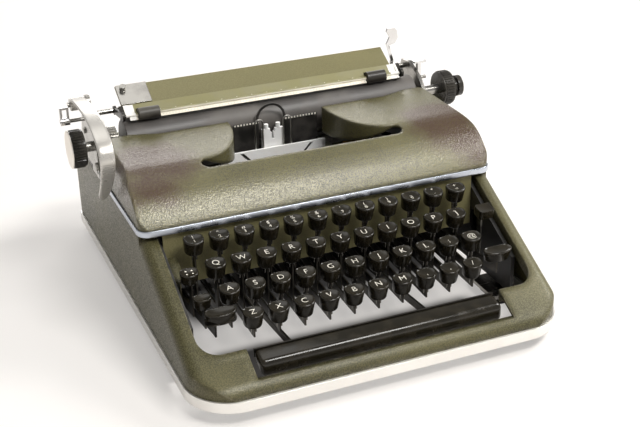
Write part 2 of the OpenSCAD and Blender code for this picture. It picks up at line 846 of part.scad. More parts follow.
module mainspring_drum() {
    rim = 2;
    color("#6f7072") translate([drum_x, wheel_y + drum_w, drum_z]) rotate([90, 0, 0]) difference() {
        cylinder(r = drum_r, h = drum_w);
        translate([0, 0, rim]) difference() {
            cylinder(r = drum_r + cut, h = drum_w - 2 * rim);
            cylinder(r = drum_r - rim, h = drum_w);
        }
        translate([0, 0, -cut]) cylinder(r = stud_r + shaft_play, h = drum_w + 2 * cut);
    }
}

module escapement_wheel() {
    tooth_h = 1.6;
    color("#b39a58") translate([0, wheel_y + wheel_w, wheel_z]) rotate([90, 0, 0]) difference() {
        linear_extrude(wheel_w) toothed(wheel_r, tooth_h, 24);
        translate([0, 0, -cut]) cylinder(r = stud_r + shaft_play, h = wheel_w + 2 * cut);
    }
}

// How far the carriage travels to the left from where it is drawn
carriage_travel = 115;
module carriage_bed() {
    under_x0 = -(side_x - deck_rim) + carriage_travel + 3;
    under_x1 = frame_in - 2;
    lip_drop = 6;
    hook_t = 1.2;
    rack_h = 4;
    rack_pitch = 2.6;
    tooth_h = 1.6;
    color("#7d7e80") union() {
        translate([left_plate_x, bed_y0, bed_z])
            cube([right_plate_out - left_plate_x, bed_y1 - bed_y0, bed_t]);
        for (y = [rail_y0 - run_gap - hook_t, rail_y0 + rail_w_y + run_gap])
            translate([under_x0, y, bed_z - lip_drop]) cube([under_x1 - under_x0, hook_t, lip_drop + cut]);
        difference() {
            translate([under_x0, wheel_y, bed_z - rack_h]) cube([under_x1 - under_x0, wheel_w, rack_h + cut]);
            for (x = [under_x0 + rack_pitch:rack_pitch:under_x1 - rack_pitch])
                translate([x, wheel_y - cut, bed_z - rack_h - cut])
                    cube([rack_pitch / 2, wheel_w + 2 * cut, tooth_h + cut]);
        }
    }
}

margin_y = bed_y1;
margin_t = 3;
margin_h = 9;
module margin_rail() {
    color("#b9babd") translate([left_plate_x + 8, margin_y, bed_z])
        cube([right_plate_x - left_plate_x - 16, margin_t, margin_h]);
}

module margin_stop(x) {
    stop_w = 12;
    wall = 2.5;
    side_gap = 0.1;
    low_z = bed_top + 1;
    top_z = bed_z + margin_h + 4;
    color("#3a3a3c") translate([x - stop_w / 2, 0, 0]) difference() {
        translate([0, margin_y - side_gap - wall + 1, low_z])
            cube([stop_w, margin_t + 2 * side_gap + 2 * wall - 1, top_z - low_z]);
        translate([-cut, margin_y - side_gap, low_z - cut])
            cube([stop_w + 2 * cut, margin_t + 2 * side_gap, bed_z + margin_h + side_gap - low_z + cut]);
    }
}
margin_stop_x = 105;

// Side view of a carriage end plate
module end_plate_side(tall) {
    low_z = bed_z - 1.5;
    y0 = platen_y - 15;
    polygon([
        [y0, low_z], [bed_y0 - 2, low_z], [bed_y0 - 2, bed_top], [bed_y1, bed_top], [bed_y1, platen_z],
        [bail_rod[0] + 5, bail_rod[1] + 4], [platen_y + 13, platen_z + 23.5], [platen_y - 5, platen_z + 15],
        [y0, platen_z + 5]
    ]);
    if (tall) {
        translate([return_pivot[0] - 6, platen_z + 20]) square([12, return_pivot[1] - platen_z - 20]);
        translate(return_pivot) circle(r = 6);
    }
}

// The bores that an end plate has
module end_plate_bores() {
    translate([platen_y, platen_z]) circle(r = platen_shaft_r + shaft_play);
    translate(feed_yz) circle(r = feed_shaft_r + shaft_play);
}
feed_shaft_r = 2;
return_pin_r = 2;
small_pin_r = 1.5;
selector_pivot = [platen_y + 5, platen_z + 21.5];
table_t = 1.2;
table_back_y = platen_y + 19.5;

module carriage_frame() {
    inner_x = left_plate_x + end_plate_t;
    rear_bar = [14, 4];
    color("#b4b5b8") union() {
        along_x(left_plate_x, end_plate_t) difference() {
            end_plate_side(true);
            end_plate_bores();
        }
        along_x(right_plate_x, end_plate_t) difference() {
            end_plate_side(false);
            end_plate_bores();
        }
        translate([inner_x - cut, table_back_y + table_t, bed_top + 2])
            cube([right_plate_x - inner_x + 2 * cut, rear_bar[0], rear_bar[1]]);
        rod_x(inner_x - cut, right_plate_x + cut, bail_rod, bail_rod_r);
        rod_x(left_plate_x - return_w - 2, left_plate_x + cut, return_pivot, return_pin_r);
        rod_x(selector_out + 1, left_plate_x + cut, selector_pivot, small_pin_r);
        rod_x(release_x[0] - 0.5, right_plate_x + cut, release_pivot, small_pin_r);
        rod_x(right_plate_out - cut, right_plate_out + 9, thumb_pivot, small_pin_r);
    }
}

module platen_roller() {
    color("#2d2d2e") difference() {
        rod_x(platen_x0, platen_x1, [platen_y, platen_z], platen_r);
        rod_x(platen_x0 - cut, platen_x1 + cut, [platen_y, platen_z], platen_shaft_r);
    }
}

module platen_shaft() {
    ratchet_r = 13;
    ratchet_w = 6;
    color("#c4c5c8") union() {
        rod_x(knob_left_x + 2, shaft_end, [platen_y, platen_z], platen_shaft_r);
        translate([platen_x0 - 12, platen_y, platen_z]) rotate([90, 0, 90]) linear_extrude(ratchet_w)
            toothed(ratchet_r, 2, 30);
    }
}
shaft_end = knob_right_x + knob_right_w - 7;

// A ribbed knob that fills x to x + w
module ribbed_knob(x, w) {
    rib = 0.8;
    rim = 1.5;
    translate([x, platen_y, platen_z]) rotate([90, 0, 90]) {
        translate([0, 0, rim]) linear_extrude(w - 2 * rim) toothed(knob_r, rib, knob_ribs);
        for (z = [0, w - rim]) translate([0, 0, z]) cylinder(r = knob_r - rib, h = rim);
    }
}

module knob_left() {
    color("#1f1f20") difference() {
        ribbed_knob(knob_left_x, knob_left_w);
        rod_x(knob_left_x + 2, knob_left_x + knob_left_w + cut, [platen_y, platen_z], platen_shaft_r);
    }
}

module knob_right() {
    color("#1f1f20") difference() {
        ribbed_knob(knob_right_x, knob_right_w);
        rod_x(knob_right_x - cut, shaft_end, [platen_y, platen_z], platen_shaft_r);
        rod_x(shaft_end - cut, knob_right_x + knob_right_w + cut, [platen_y, platen_z],
            button_neck_r + shaft_play);
    }
}
button_neck_r = 3.5;

module variable_button() {
    face = knob_right_x + knob_right_w;
    flange_w = 4.5;
    cap_r = button_r - 3;
    color("#2a2a2b") union() {
        rod_x(face - 3.5, button_out - flange_w, [platen_y, platen_z], button_neck_r);
        rod_x(face + button_travel + 0.5, button_out - flange_w, [platen_y, platen_z], cap_r);
        rod_x(button_out - flange_w, button_out, [platen_y, platen_z], button_r);
    }
}

table_x0 = carriage_x - 5 - table_len / 2;
table_high = table_low + table_w * [cos(table_deg), sin(table_deg)];
module paper_table() {
    fold = [table_back_y + table_t / 2, platen_z + 9];
    knee = [table_low[0] + 7, platen_z + 12.5];
    color("#6b6a4c") along_x(table_x0, table_len)
        polygon(band([table_high, table_low, knee, fold, fold - [0, 2], [fold[0], bed_top + 2]], table_t));
}

module paper_guide() {
    guide_t = 1;
    end_gap = 0.8;
    knob = [2.5, 4];
    knob_in = 5;
    color("#dcdcde") translate([table_x0 + run_gap, table_low[0], table_low[1]]) rotate([table_deg, 0, 0]) {
        translate([0, end_gap, table_t / 2]) cube([paper_guide_w, table_w - end_gap, guide_t]);
        translate([knob_in, table_w - knob_in, table_t / 2]) cylinder(r = knob[0], h = guide_t + knob[1]);
    }
}

module paper_pan() {
    pan_r = [platen_r + 1.7, platen_r + 2.5];
    sweep = [254, 345];
    inner_x = left_plate_x + end_plate_t;
    color("#8a8b8d") along_x(inner_x, right_plate_x - inner_x) polygon(concat(
        arc([platen_y, platen_z], pan_r[1], sweep[0], sweep[1], 16),
        arc([platen_y, platen_z], pan_r[0], sweep[1], sweep[0], 16)
    ));
}

module feed_rollers() {
    roller_len = 34;
    roller_gap = 70;
    color("#3b3b3c") {
        rod_x(left_plate_x, right_plate_out, feed_yz, feed_shaft_r);
        for (k = [-1, 0, 1]) translate([carriage_x + k * roller_gap, 0, 0])
            rod_x(-roller_len / 2, roller_len / 2, feed_yz, feed_r);
    }
}

// Bail: a scale and a rod between two arms
bail_arm_t = 2;
roll_rod_r = 1.5;
bail_arm_x = [table_x0 - 2 - bail_arm_t, table_x0 + table_len + 2];
bail_roller_mid = carriage_x - 6.7;
module paper_bail() {
    scale_t = 1.2;
    arm_h = 5;
    boss_r = 3.6;
    link_h = 2;
    scale_x0 = carriage_x - 4 - scale_len / 2;
    scale_low = [bail_roll_yz[0] - 3, bail_roll_yz[1] - 3.4];
    scale_rise = 38.7;
    scale_high = scale_low + scale_w * [cos(scale_rise), sin(scale_rise)];
    window = bail_roller_len + 1.2;
    color("#b9babd") union() {
        for (x = bail_arm_x) along_x(x, bail_arm_t) difference() {
            union() {
                polygon(band([bail_rod, bail_roll_yz], arm_h));
                translate(bail_rod) circle(r = boss_r);
                translate(bail_roll_yz) circle(r = boss_r);
            }
            translate(bail_rod) circle(r = bail_rod_r + shaft_play);
        }
        rod_x(bail_arm_x[0], bail_arm_x[1] + bail_arm_t, bail_roll_yz, roll_rod_r);
    }
    color("#e6dfc4") difference() {
        union() {
            along_x(scale_x0, scale_len) polygon(band([scale_low, scale_high], scale_t));
            along_x(bail_arm_x[0], scale_x0 - bail_arm_x[0] + cut)
                polygon(band([bail_roll_yz, scale_high], link_h));
            along_x(scale_x0 + scale_len - cut, bail_arm_x[1] + bail_arm_t - scale_x0 - scale_len + cut)
                polygon(band([bail_roll_yz, scale_high], link_h));
        }
        for (s = [-1, 1]) rod_x(bail_roller_mid + s * bail_roller_x - window / 2,
            bail_roller_mid + s * bail_roller_x + window / 2, bail_roll_yz, bail_roller_r + 0.6);
    }
}

module bail_rollers() {
    color("#6a6a68") for (s = [-1, 1]) translate([bail_roller_mid + s * bail_roller_x, 0, 0]) difference() {
        rod_x(-bail_roller_len / 2, bail_roller_len / 2, bail_roll_yz, bail_roller_r);
        rod_x(-bail_roller_len, bail_roller_len, bail_roll_yz, roll_rod_r + shaft_play);
    }
}

module return_lever() {
    boss_r = 5;
    root = return_pivot + [0, boss_r - return_t / 2 - 0.4];
    bend = [platen_y - 78, platen_z + 11];
    tip = [platen_y - 49, platen_z - 23];
    path = concat(
        curve([root, root + [-44, 9.5], bend + [-13, 26], bend], 14),
        [for (i = [1:8]) curve([bend, bend + [4, -12], bend + [13, -21], tip], 8)[i]]
    );
    x0 = left_plate_x - return_w;
    color("#d5d5d8") difference() {
        union() {
            along_x(x0, return_w - run_gap) polygon(band(path, return_t));
            rod_x(x0, left_plate_x - run_gap, return_pivot, boss_r);
        }
        rod_x(x0 - cut, left_plate_x + cut, return_pivot, return_pin_r + shaft_play);
    }
}

module line_space_selector() {
    hub_r = 3;
    loop_t = 2;
    loop_z = [hub_r - 1, 11.5];
    wire = 1.8;
    loop_w = 7;
    color("#c9c9cc") translate([selector_out, selector_pivot[0], selector_pivot[1]]) {
        difference() {
            rod_x(0, loop_w, [0, 0], hub_r);
            rod_x(-cut, loop_w + cut, [0, 0], small_pin_r + shaft_play);
        }
        along_y(-loop_t / 2, loop_t) difference() {
            translate([0, loop_z[0]]) square([loop_w, loop_z[1] - loop_z[0]]);
            translate([wire, loop_z[0] + cut])
                square([loop_w - 2 * wire, loop_z[1] - loop_z[0] - wire - cut]);
        }
    }
}

module carriage_release() {
    stem = [3, 4, 15];
    tab = [11, 8, 2];
    boss_r = 3;
    x0 = right_plate_out + 0.5;
    color("#c9c9cc") translate([x0, thumb_pivot[0], thumb_pivot[1]]) difference() {
        union() {
            rod_x(0, stem[0], [0, 0], boss_r);
            translate([0, -stem[1] / 2, 0]) cube(stem);
            translate([-end_plate_t - 1, -tab[1] / 2, stem[2] - 1]) cube(tab);
        }
        rod_x(-cut, stem[0] + cut, [0, 0], small_pin_r + shaft_play);
    }
}

// Across, where the paper release lever's boss runs
release_x = [platen_x1 - 7, platen_x1 - 2];
module paper_release_lever() {
    lever_y = 2;
    boss_r = 3;
    spoon_z = platen_z + 37;
    right = release_x[1] - 1;
    color("#c9c9cc") difference() {
        union() {
            rod_x(release_x[0], release_x[1], release_pivot, boss_r);
            along_y(release_pivot[0] - lever_y / 2, lever_y) polygon([
                [release_x[0] + 1, release_pivot[1]], [right, release_pivot[1]],
                [right + 1, release_pivot[1] + 7], [right - 3, spoon_z - 1], [right + 2, spoon_z],
                [right + 5, spoon_z + 5], [right + 4, spoon_z + 11], [right + 2, spoon_z + 14],
                [right - 5, spoon_z + 14], [right - 6, spoon_z + 11], [right - 3, spoon_z + 6],
                [right - 6, spoon_z], [right - 2, release_pivot[1] + 8]
            ]);
        }
        rod_x(release_x[0] - cut, release_x[1] + cut, release_pivot, small_pin_r + shaft_play);
    }
}

// Ribbon cover: a side view, a plan and a front view meet in one rounded form
module hood_side(inset) {
    y0 = hood_front_y + inset;
    top = hood_top_z - inset;
    crest = [y0 + 50.5, top - 2];
    end_y = hood_rear_y + (inset > 0 ? cut : 0);
    low = strip_top - (inset > 0 ? cut : 0);
    back = curve([crest, crest + [20, 0.8], [hood_rear_y - 18, top], [hood_rear_y, top]], 10);
    polygon(concat(
        [[y0, low]],
        curve([[y0, strip_top], [y0 + 8.5, strip_top + 12], [y0 + 24.5, top - 3], crest], 14),
        [for (i = [1:10]) back[i]],
        [[end_y, top], [end_y, low]]
    ));
}

module hood_plan(inset, y1) {
    w = hood_w / 2 - inset;
    y0 = hood_front_y + inset;
    r = hood_corner_r - inset;
    translate([-w, y0 + r]) square([2 * w, y1 - y0 - r]);
    translate([-w + r, y0]) square([2 * (w - r), y1 - y0]);
    for (s = [-1, 1]) translate([s * (w - r), y0 + r]) circle(r = r);
}

module hood_front(inset, low) {
    w = hood_w / 2 - inset;
    top = hood_top_z - inset;
    r = hood_side_r - inset;
    translate([-w, low]) square([2 * w, top - r - low]);
    translate([-w + r, low]) square([2 * (w - r), top - low]);
    for (s = [-1, 1]) translate([s * (w - r), top - r]) circle(r = r);
}

module hood_form(inset) {
    open = inset > 0 ? cut : 0;
    low = strip_top - open;
    intersection() {
        along_x(-hood_w / 2, hood_w) hood_side(inset);
        along_z(low, hood_h + 2 * cut) hood_plan(inset, hood_rear_y + open);
        along_y(hood_front_y, hood_d + 2 * cut) hood_front(inset, low);
    }
}

// Plan of the opening: straight front edge, a round eye at each end, then the horns
eye_y = hood_front_y + opening_back + eye_r;
horn_y = hood_rear_y - hood_waist;
function horn_edge(grow) = [for (i = [0:12]) let (t = 90 * (1 - i / 12))
    [eye_x - (eye_x - horn_x - grow) * cos(t), horn_y - (horn_y - eye_y - eye_r - grow) * sin(t)]];
function half_opening(grow) = concat(
    arc([eye_x, eye_y], eye_r + grow, -90, 90, 12),
    [for (i = [1:12]) horn_edge(grow)[i]],
    [[horn_x + grow, hood_rear_y + cut]]
);
module opening_plan(grow) {
    right = half_opening(grow);
    n = len(right);
    polygon(concat(right, [for (i = [n - 1:-1:0]) [-right[i][0], right[i][1]]]));
}

module hood_waist_plan() {
    flare = [hood_w / 2 - 45, hood_w / 2 - 23];
    polygon([
        [-flare[1], hood_rear_y], [-flare[0], horn_y], [flare[0], horn_y], [flare[1], hood_rear_y],
        [flare[1], hood_rear_y + 2 * cut], [-flare[1], hood_rear_y + 2 * cut]
    ]);
}

module hood_skirts() {
    low_z = hood_top_z - 1.5 - skirt_h;
    eye_low_z = hood_top_z - 5;
    intersection() {
        along_z(strip_top, hood_h) difference() {
            opening_plan(skirt_t);
            opening_plan(0);
        }
        along_y(eye_y, hood_rear_y - eye_y) for (s = [-1, 1]) polygon([
            [s * (horn_x - 4), low_z], [s * (eye_x + 1), eye_low_z], [s * (eye_x + eye_r + 3), eye_low_z],
            [s * (eye_x + eye_r + 3), hood_top_z], [s * (horn_x - 4), hood_top_z]
        ]);
        hood_form(0);
    }
}

module hinge_lug() {
    lug_x = [hinge_x - 3.5, hinge_x - 0.5];
    lug_r = 2.2;
    rod_x(lug_x[0], lug_x[1], [cover_axis_y, cover_axis_z], lug_r);
    intersection() {
        along_x(lug_x[0], lug_x[1] - lug_x[0]) polygon([
            [hood_front_y, cover_axis_z], [cover_axis_y + lug_r, cover_axis_z],
            [cover_axis_y + lug_r, cover_axis_z + 10], [hood_front_y, cover_axis_z + 10]
        ]);
        hood_form(0);
    }
}

module ribbon_cover() {
    color("#6b6a4c") difference() {
        union() {
            difference() {
                hood_form(0);
                hood_form(hood_t);
                along_z(strip_top, 2 * hood_h) opening_plan(0);
            }
            hood_skirts();
            for (s = [0, 1]) mirror([s, 0, 0]) hinge_lug();
        }
        along_z(strip_top - cut, 2 * hood_h) hood_waist_plan();
        for (s = [0, 1]) mirror([s, 0, 0])
            rod_x(hinge_x - 6, hinge_x + 1, [cover_axis_y, cover_axis_z], hinge_pin_r + shaft_play);
    }
}

module cover_strip() {
    color("#d9d9dc") {
        along_z(strip_z + strip_foot_h, strip_h - strip_foot_h) difference() {
            hood_plan(-strip_proud, hood_rear_y);
            hood_plan(strip_t - strip_proud, hood_rear_y + cut);
        }
        along_z(strip_z, strip_foot_h) difference() {
            hood_plan(0, hood_rear_y);
            hood_plan(strip_t - strip_proud, hood_rear_y + cut);
        }
    }
}

// Keys. A point a ahead of a top's middle and b above it, seen from the side
function cap_pt(y, z, a, b) =
    [y + a * cos(cap_tilt) - b * sin(cap_tilt), z + a * sin(cap_tilt) + b * cos(cap_tilt)];

// A key top with its middle at the origin, over a plan given as a child
module key_top(h) {
    rotate([cap_tilt, 0, 0]) difference() {
        translate([0, 0, -h]) linear_extrude(h) children();
        translate([0, 0, dish_r - dish_h]) sphere(r = dish_r);
    }
}

module cap_plan() {
    intersection() {
        circle(r = cap_w / 2);
        translate([-cap_w, -cap_w]) square([2 * cap_w, cap_w + cap_back]);
    }
}

module key_cap(r, i) {
    color("#161617") translate([key_x(r, i), row_y(r), row_z(r)]) key_top(cap_h) cap_plan();
}

riser_w = 6;

// A lever with its boss at one place and its end under a key top
module lever(x, pivot, pin_r, boss_w, end, cap) {
    along_x(x - lever_t / 2, lever_t) difference() {
        union() {
            polygon(band([pivot, end], lever_h));
            polygon(concat([end + [riser_w / 2, -lever_h / 2], end + [-riser_w / 2, -lever_h / 2]], cap));
        }
        translate(pivot) circle(r = pin_r + shaft_play);
    }
    difference() {
        rod_x(x - boss_w / 2, x + boss_w / 2, pivot, pin_r + 2);
        rod_x(x - boss_w, x + boss_w, pivot, pin_r + shaft_play);
    }
}

module key_lever(r, i) {
    y = row_y(r);
    z = row_z(r);
    color("#8e8f92") lever(key_x(r, i), [lever_shaft_y, lever_shaft_z], lever_shaft_r, lever_t + 1,
        [y + 2, lever_front_z],
        [cap_pt(y, z, -riser_w / 2, -cap_h), cap_pt(y, z, riser_w / 2, -cap_h)]);
}

module key_caps(r) { for (i = [0:row_count[r] - 1]) if (r != center_row || i != center_key) key_cap(r, i); }
module key_levers(r) {
    for (i = [0:row_count[r] - 1]) if (r != center_row || i != center_key) key_lever(r, i);
}
module key_center() {
    key_cap(center_row, center_key);
    key_lever(center_row, center_key);
}

module space_bar() {
    y0 = front_y + space_back;
    rise = 2.6;
    arm_h = 6;
    arm_t = 1.6;
    tube_r = rod_r + 1.5;
    tube_over = 2;
    arm_end = [y0 + space_d / 2, space_top_z - 6];
    color("#161617") along_x(-space_w / 2, space_w) polygon([
        [y0, space_top_z - space_h], [y0, space_top_z], [y0 + space_d, space_top_z + rise],
        [y0 + space_d, space_top_z - 3], [y0 + 3, space_top_z - space_h]
    ]);
    color("#8e8f92") {
        for (x = space_arm_x) along_x(x - arm_t / 2, arm_t) difference() {
            polygon(band([space_rod, arm_end], arm_h));
            translate(space_rod) circle(r = rod_r + shaft_play);
        }
        difference() {
            rod_x(space_arm_x[0] - tube_over, space_arm_x[1] + tube_over, space_rod, tube_r);
            rod_x(space_arm_x[0] - 2 * tube_over, space_arm_x[1] + 2 * tube_over, space_rod,
                rod_r + shaft_play);
        }
    }
}

// A key that turns on the frame's second rod: lever at lever_x, top's middle at p
module side_key(lever_x, p, h, boss_w) {
    foot = 40;
    color("#8e8f92") lever(lever_x, shift_rod, rod_r, boss_w, [p[1] + 2, min(foot, p[2] - h - 8)],
        [cap_pt(p[1], p[2], -riser_w / 2, -h + 1), cap_pt(p[1], p[2], riser_w / 2, -h + 1)]);
    color("#161617") translate(p) key_top(h) children();
}

// Places of the side keys: in from a frame plate, behind a row's middle, above its tops
side_cap_h = 7;
side_boss_w = 2;
module shift_keys() {
    lever_x = frame_in - shift_lever_x;
    left_in = 19.5;
    right_in = 14;
    left = [left_in - frame_in, row_y(3) + 3.85, row_z(3) + 2.45];
    right = [frame_in - right_in, left[1] - 1, left[2] + 1];
    tube_r = rod_r + 1.5;
    side_key(-lever_x, left, side_cap_h, side_boss_w) round_rect(shift_w, shift_d, shift_d / 2 - 0.1);
    side_key(lever_x, right, side_cap_h, side_boss_w) {
        round_rect(shift_w, shift_d, shift_d / 2 - 0.1);
        translate([-shift_w / 2 + 2, -shift_d / 2]) square([shift_w - 4, shift_d / 2]);
    }
    color("#8e8f92") difference() {
        rod_x(-lever_x - side_boss_w / 2, lever_x + side_boss_w / 2, shift_rod, tube_r);
        rod_x(-side_x, side_x, shift_rod, rod_r + shaft_play);
    }
}

module shift_lock_key() {
    middle = [11.2 - frame_in, row_y(2) - 2.7, row_z(2) - 2.1];
    side_key(middle[0] + 0.6, middle, side_cap_h, side_boss_w) round_rect(13, 8.5, 2);
}

module margin_release_key() {
    middle = [8.5 - frame_in, row_y(1) - 2.15, row_z(1) - 2.95];
    side_key(middle[0] + 0.6, middle, side_cap_h, side_boss_w) round_rect(13.4, 11, 4);
}

module backspace_key() {
    middle = [frame_in - 7.2, row_y(1) - 2.15, row_z(1) - 0.15];
    side_key(middle[0] - 3.3, middle, side_cap_h, side_boss_w) round_rect(12.4, 11, 2);
}

module ribbon_selector() {
    tab = [7.6, 24, 2.4];
    tab_deg = 20.5;
    tab_mid = [4.2 - frame_in, row_y(0) - 1.4, row_z(0) - 21.7];
    lever_x = tab_mid[0] + 1.7;
    color("#8e8f92") lever(lever_x, shift_rod, rod_r, side_boss_w, [tab_mid[1], 40],
        [[tab_mid[1] - riser_w / 2, tab_mid[2] - 2], [tab_mid[1] + riser_w / 2, tab_mid[2]]]);
    color("#6b6a4c") translate(tab_mid) rotate([tab_deg, 0, 0]) translate([0, 0, -tab[2] / 2])
        linear_extrude(tab[2]) round_rect(tab[0], tab[1], 3);
}

module place() { translate([machine_shift, 0, 0]) children(); }

place() body_shell();
place() base_trim();
place() rubber_feet();
place() foot_plates();
place() main_frame();
place() key_well_panel();
place() lever_comb();
place() key_lever_shaft();
place() segment();
place() typebars();
place() typebar_center();
place() type_rest();
place() type_guide();
place() guide_bracket();
place() line_scale();
place() ribbon_vibrator();
place() spool_cups();
place() ribbon_spool(-1);  // ribbon_spool_left
place() ribbon_spool(1);  // ribbon_spool_right
place() carriage_rail();
place() bell();
place() mainspring_drum();
place() escapement_wheel();
place() carriage_bed();
place() margin_rail();
place() margin_stop(-margin_stop_x);  // margin_stop_left
place() margin_stop(margin_stop_x);  // margin_stop_right
place() carriage_frame();
place() platen_roller();
place() platen_shaft();
place() knob_left();
place() knob_right();
place() variable_button();
place() paper_table();
place() paper_guide();
place() paper_pan();
place() feed_rollers();
place() paper_bail();
place() bail_rollers();
place() return_lever();
place() line_space_selector();
place() carriage_release();
place() paper_release_lever();
place() ribbon_cover();
place() cover_strip();
place() key_caps(0);  // key_caps_row_1
place() key_caps(1);  // key_caps_row_2
place() key_caps(2);  // key_caps_row_3
place() key_caps(3);  // key_caps_row_4
place() key_levers(0);  // key_levers_row_1
place() key_levers(1);  // key_levers_row_2
place() key_levers(2);  // key_levers_row_3
place() key_levers(3);  // key_levers_row_4
place() key_center();
place() space_bar();
place() shift_keys();
place() shift_lock_key();
place() margin_release_key();
place() backspace_key();
place() ribbon_selector();
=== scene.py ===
import bmesh
import bpy
import math
from mathutils import Matrix, Vector


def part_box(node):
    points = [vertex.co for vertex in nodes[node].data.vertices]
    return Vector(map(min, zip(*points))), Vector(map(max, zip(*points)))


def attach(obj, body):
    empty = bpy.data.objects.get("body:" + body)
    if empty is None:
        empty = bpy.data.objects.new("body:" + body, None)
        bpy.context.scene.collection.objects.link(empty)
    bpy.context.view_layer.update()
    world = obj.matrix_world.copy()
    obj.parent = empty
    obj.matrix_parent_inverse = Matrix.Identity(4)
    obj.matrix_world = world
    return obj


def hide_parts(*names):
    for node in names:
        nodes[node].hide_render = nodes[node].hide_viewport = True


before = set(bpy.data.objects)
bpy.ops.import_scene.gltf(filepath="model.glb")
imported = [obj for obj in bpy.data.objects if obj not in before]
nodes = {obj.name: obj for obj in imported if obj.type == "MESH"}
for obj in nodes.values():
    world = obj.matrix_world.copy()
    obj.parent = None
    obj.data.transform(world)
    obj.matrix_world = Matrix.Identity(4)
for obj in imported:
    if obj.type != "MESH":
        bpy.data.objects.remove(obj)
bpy.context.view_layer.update()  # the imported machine: bodies, nodes, joints, record
mm = 0.001
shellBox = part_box("body_shell")
middleX = (shellBox[0].x + shellBox[1].x) / 2  # the body's own middle, beside the machine's
print("frame loaded:", len(nodes), "nodes")


# Shader helpers

def colour(code):  # a screen colour, as the linear one that a shader takes
    parts = [int(code[i:i + 2], 16) / 255 for i in (0, 2, 4)]
    linear = [c / 12.92 if c <= 0.04045 else ((c + 0.055) / 1.055) ** 2.4 for c in parts]
    return (*linear, 1.0)


def addNode(tree, kind, props=None, sockets=None):
    node = tree.nodes.new("ShaderNode" + kind)
    for name, value in (props or {}).items():
        setattr(node, name, value)
    for name, value in (sockets or {}).items():
        plug(tree, node.inputs[name], value)
    return node


def plug(tree, socket, value):  # a link, a colour code or a plain value
    if isinstance(value, bpy.types.NodeSocket):
        tree.links.new(value, socket)
    else:
        socket.default_value = colour(value) if isinstance(value, str) else value


def mixColour(tree, share, first, second):
    return addNode(tree, "Mix", {"data_type": "RGBA"}, {0: share, 6: first, 7: second}).outputs[2]


def reckon(tree, operation, first, second=0.0, third=None):
    sockets = {0: first, 1: second}
    if third is not None:
        sockets[2] = third
    return addNode(tree, "Math", {"operation": operation}, sockets).outputs[0]


def times(tree, first, second):
    return reckon(tree, "MULTIPLY", first, second)


def between(tree, value, low, high):  # 1 from low to high
    return times(tree, reckon(tree, "GREATER_THAN", value, low), reckon(tree, "LESS_THAN", value, high))


def remap(tree, value, low, high, toLow=0.0, toHigh=1.0, kind="SMOOTHSTEP"):
    sockets = {"Value": value, "From Min": low, "From Max": high, "To Min": toLow, "To Max": toHigh}
    return addNode(tree, "MapRange", {"interpolation_type": kind}, sockets).outputs["Result"]


def fromTo(tree, mask, first, second, kind="SMOOTHSTEP"):
    return remap(tree, mask, 0.0, 1.0, first, second, kind)


def newGroup(name, takes, gives):
    group = bpy.data.node_groups.new(name, "ShaderNodeTree")
    for label, value in takes.items():
        kind = "NodeSocketVector" if value is None else "NodeSocketFloat"
        socket = group.interface.new_socket(label, in_out="INPUT", socket_type=kind)
        if value is not None:
            socket.default_value = value
    for label in gives:
        kind = "NodeSocketVector" if label == "Normal" else "NodeSocketFloat"
        group.interface.new_socket(label, in_out="OUTPUT", socket_type=kind)
    return group, group.nodes.new("NodeGroupInput").outputs, group.nodes.new("NodeGroupOutput").inputs


def useGroup(tree, group, place, **values):
    return addNode(tree, "Group", {"node_tree": group}, {"Vector": place, **values}).outputs


def newMaterial(name, **sockets):
    material = bpy.data.materials.new(name)
    material.use_nodes = True
    tree = material.node_tree
    shader = tree.nodes["Principled BSDF"]
    for label, value in sockets.items():
        shader.inputs[label.replace("_", " ")].default_value = value
    place = addNode(tree, "TexCoord").outputs["Object"]
    return material, tree, shader.inputs, place


def setSkin(tree, shader, base, rough):
    plug(tree, shader["Base Color"], base)
    plug(tree, shader["Roughness"], rough)


def raiseGrain(tree, shader, place, height, bump, depthMm, edgeMm):
    raised = addNode(tree, "Bump", sockets={"Strength": bump, "Distance": depthMm * mm, "Height": height})
    if edgeMm:
        plug(tree, raised.inputs["Normal"], useGroup(tree, softGroup, place, Radius=edgeMm * mm)["Normal"])
    plug(tree, shader["Normal"], raised.outputs["Normal"])


# Effects that several finishes share

def makeSpeckle():  # fine grains of a hammered paint
    group, takes, gives = newGroup("paintSpeckle", {"Vector": None, "Scale": 1500.0}, ["Speckle", "Height"])
    flakeScale, flakeHeight, grainEdge = 0.62, 0.7, (0.42, 0.6)
    noise = addNode(group, "TexNoise", sockets={
        "Vector": takes["Vector"], "Scale": takes["Scale"], "Detail": 3.0, "Roughness": 0.6})
    flakes = addNode(group, "TexVoronoi", sockets={
        "Vector": takes["Vector"], "Scale": times(group, takes["Scale"], flakeScale)})
    group.links.new(remap(group, noise.outputs[0], *grainEdge), gives["Speckle"])
    height = reckon(group, "MULTIPLY_ADD", flakes.outputs["Distance"], flakeHeight, noise.outputs[0])
    group.links.new(height, gives["Height"])
    return group


def makeDrift():  # slow change of tone, for handling and age
    takes = {"Vector": None, "Scale": 10.0, "Low": 0.4, "High": 0.62}
    group, takes, gives = newGroup("toneDrift", takes, ["Mask"])
    noise = addNode(group, "TexNoise", sockets={
        "Vector": takes["Vector"], "Scale": takes["Scale"], "Detail": 5.0, "Roughness": 0.6})
    group.links.new(remap(group, noise.outputs[0], takes["Low"], takes["High"]), gives["Mask"])
    return group


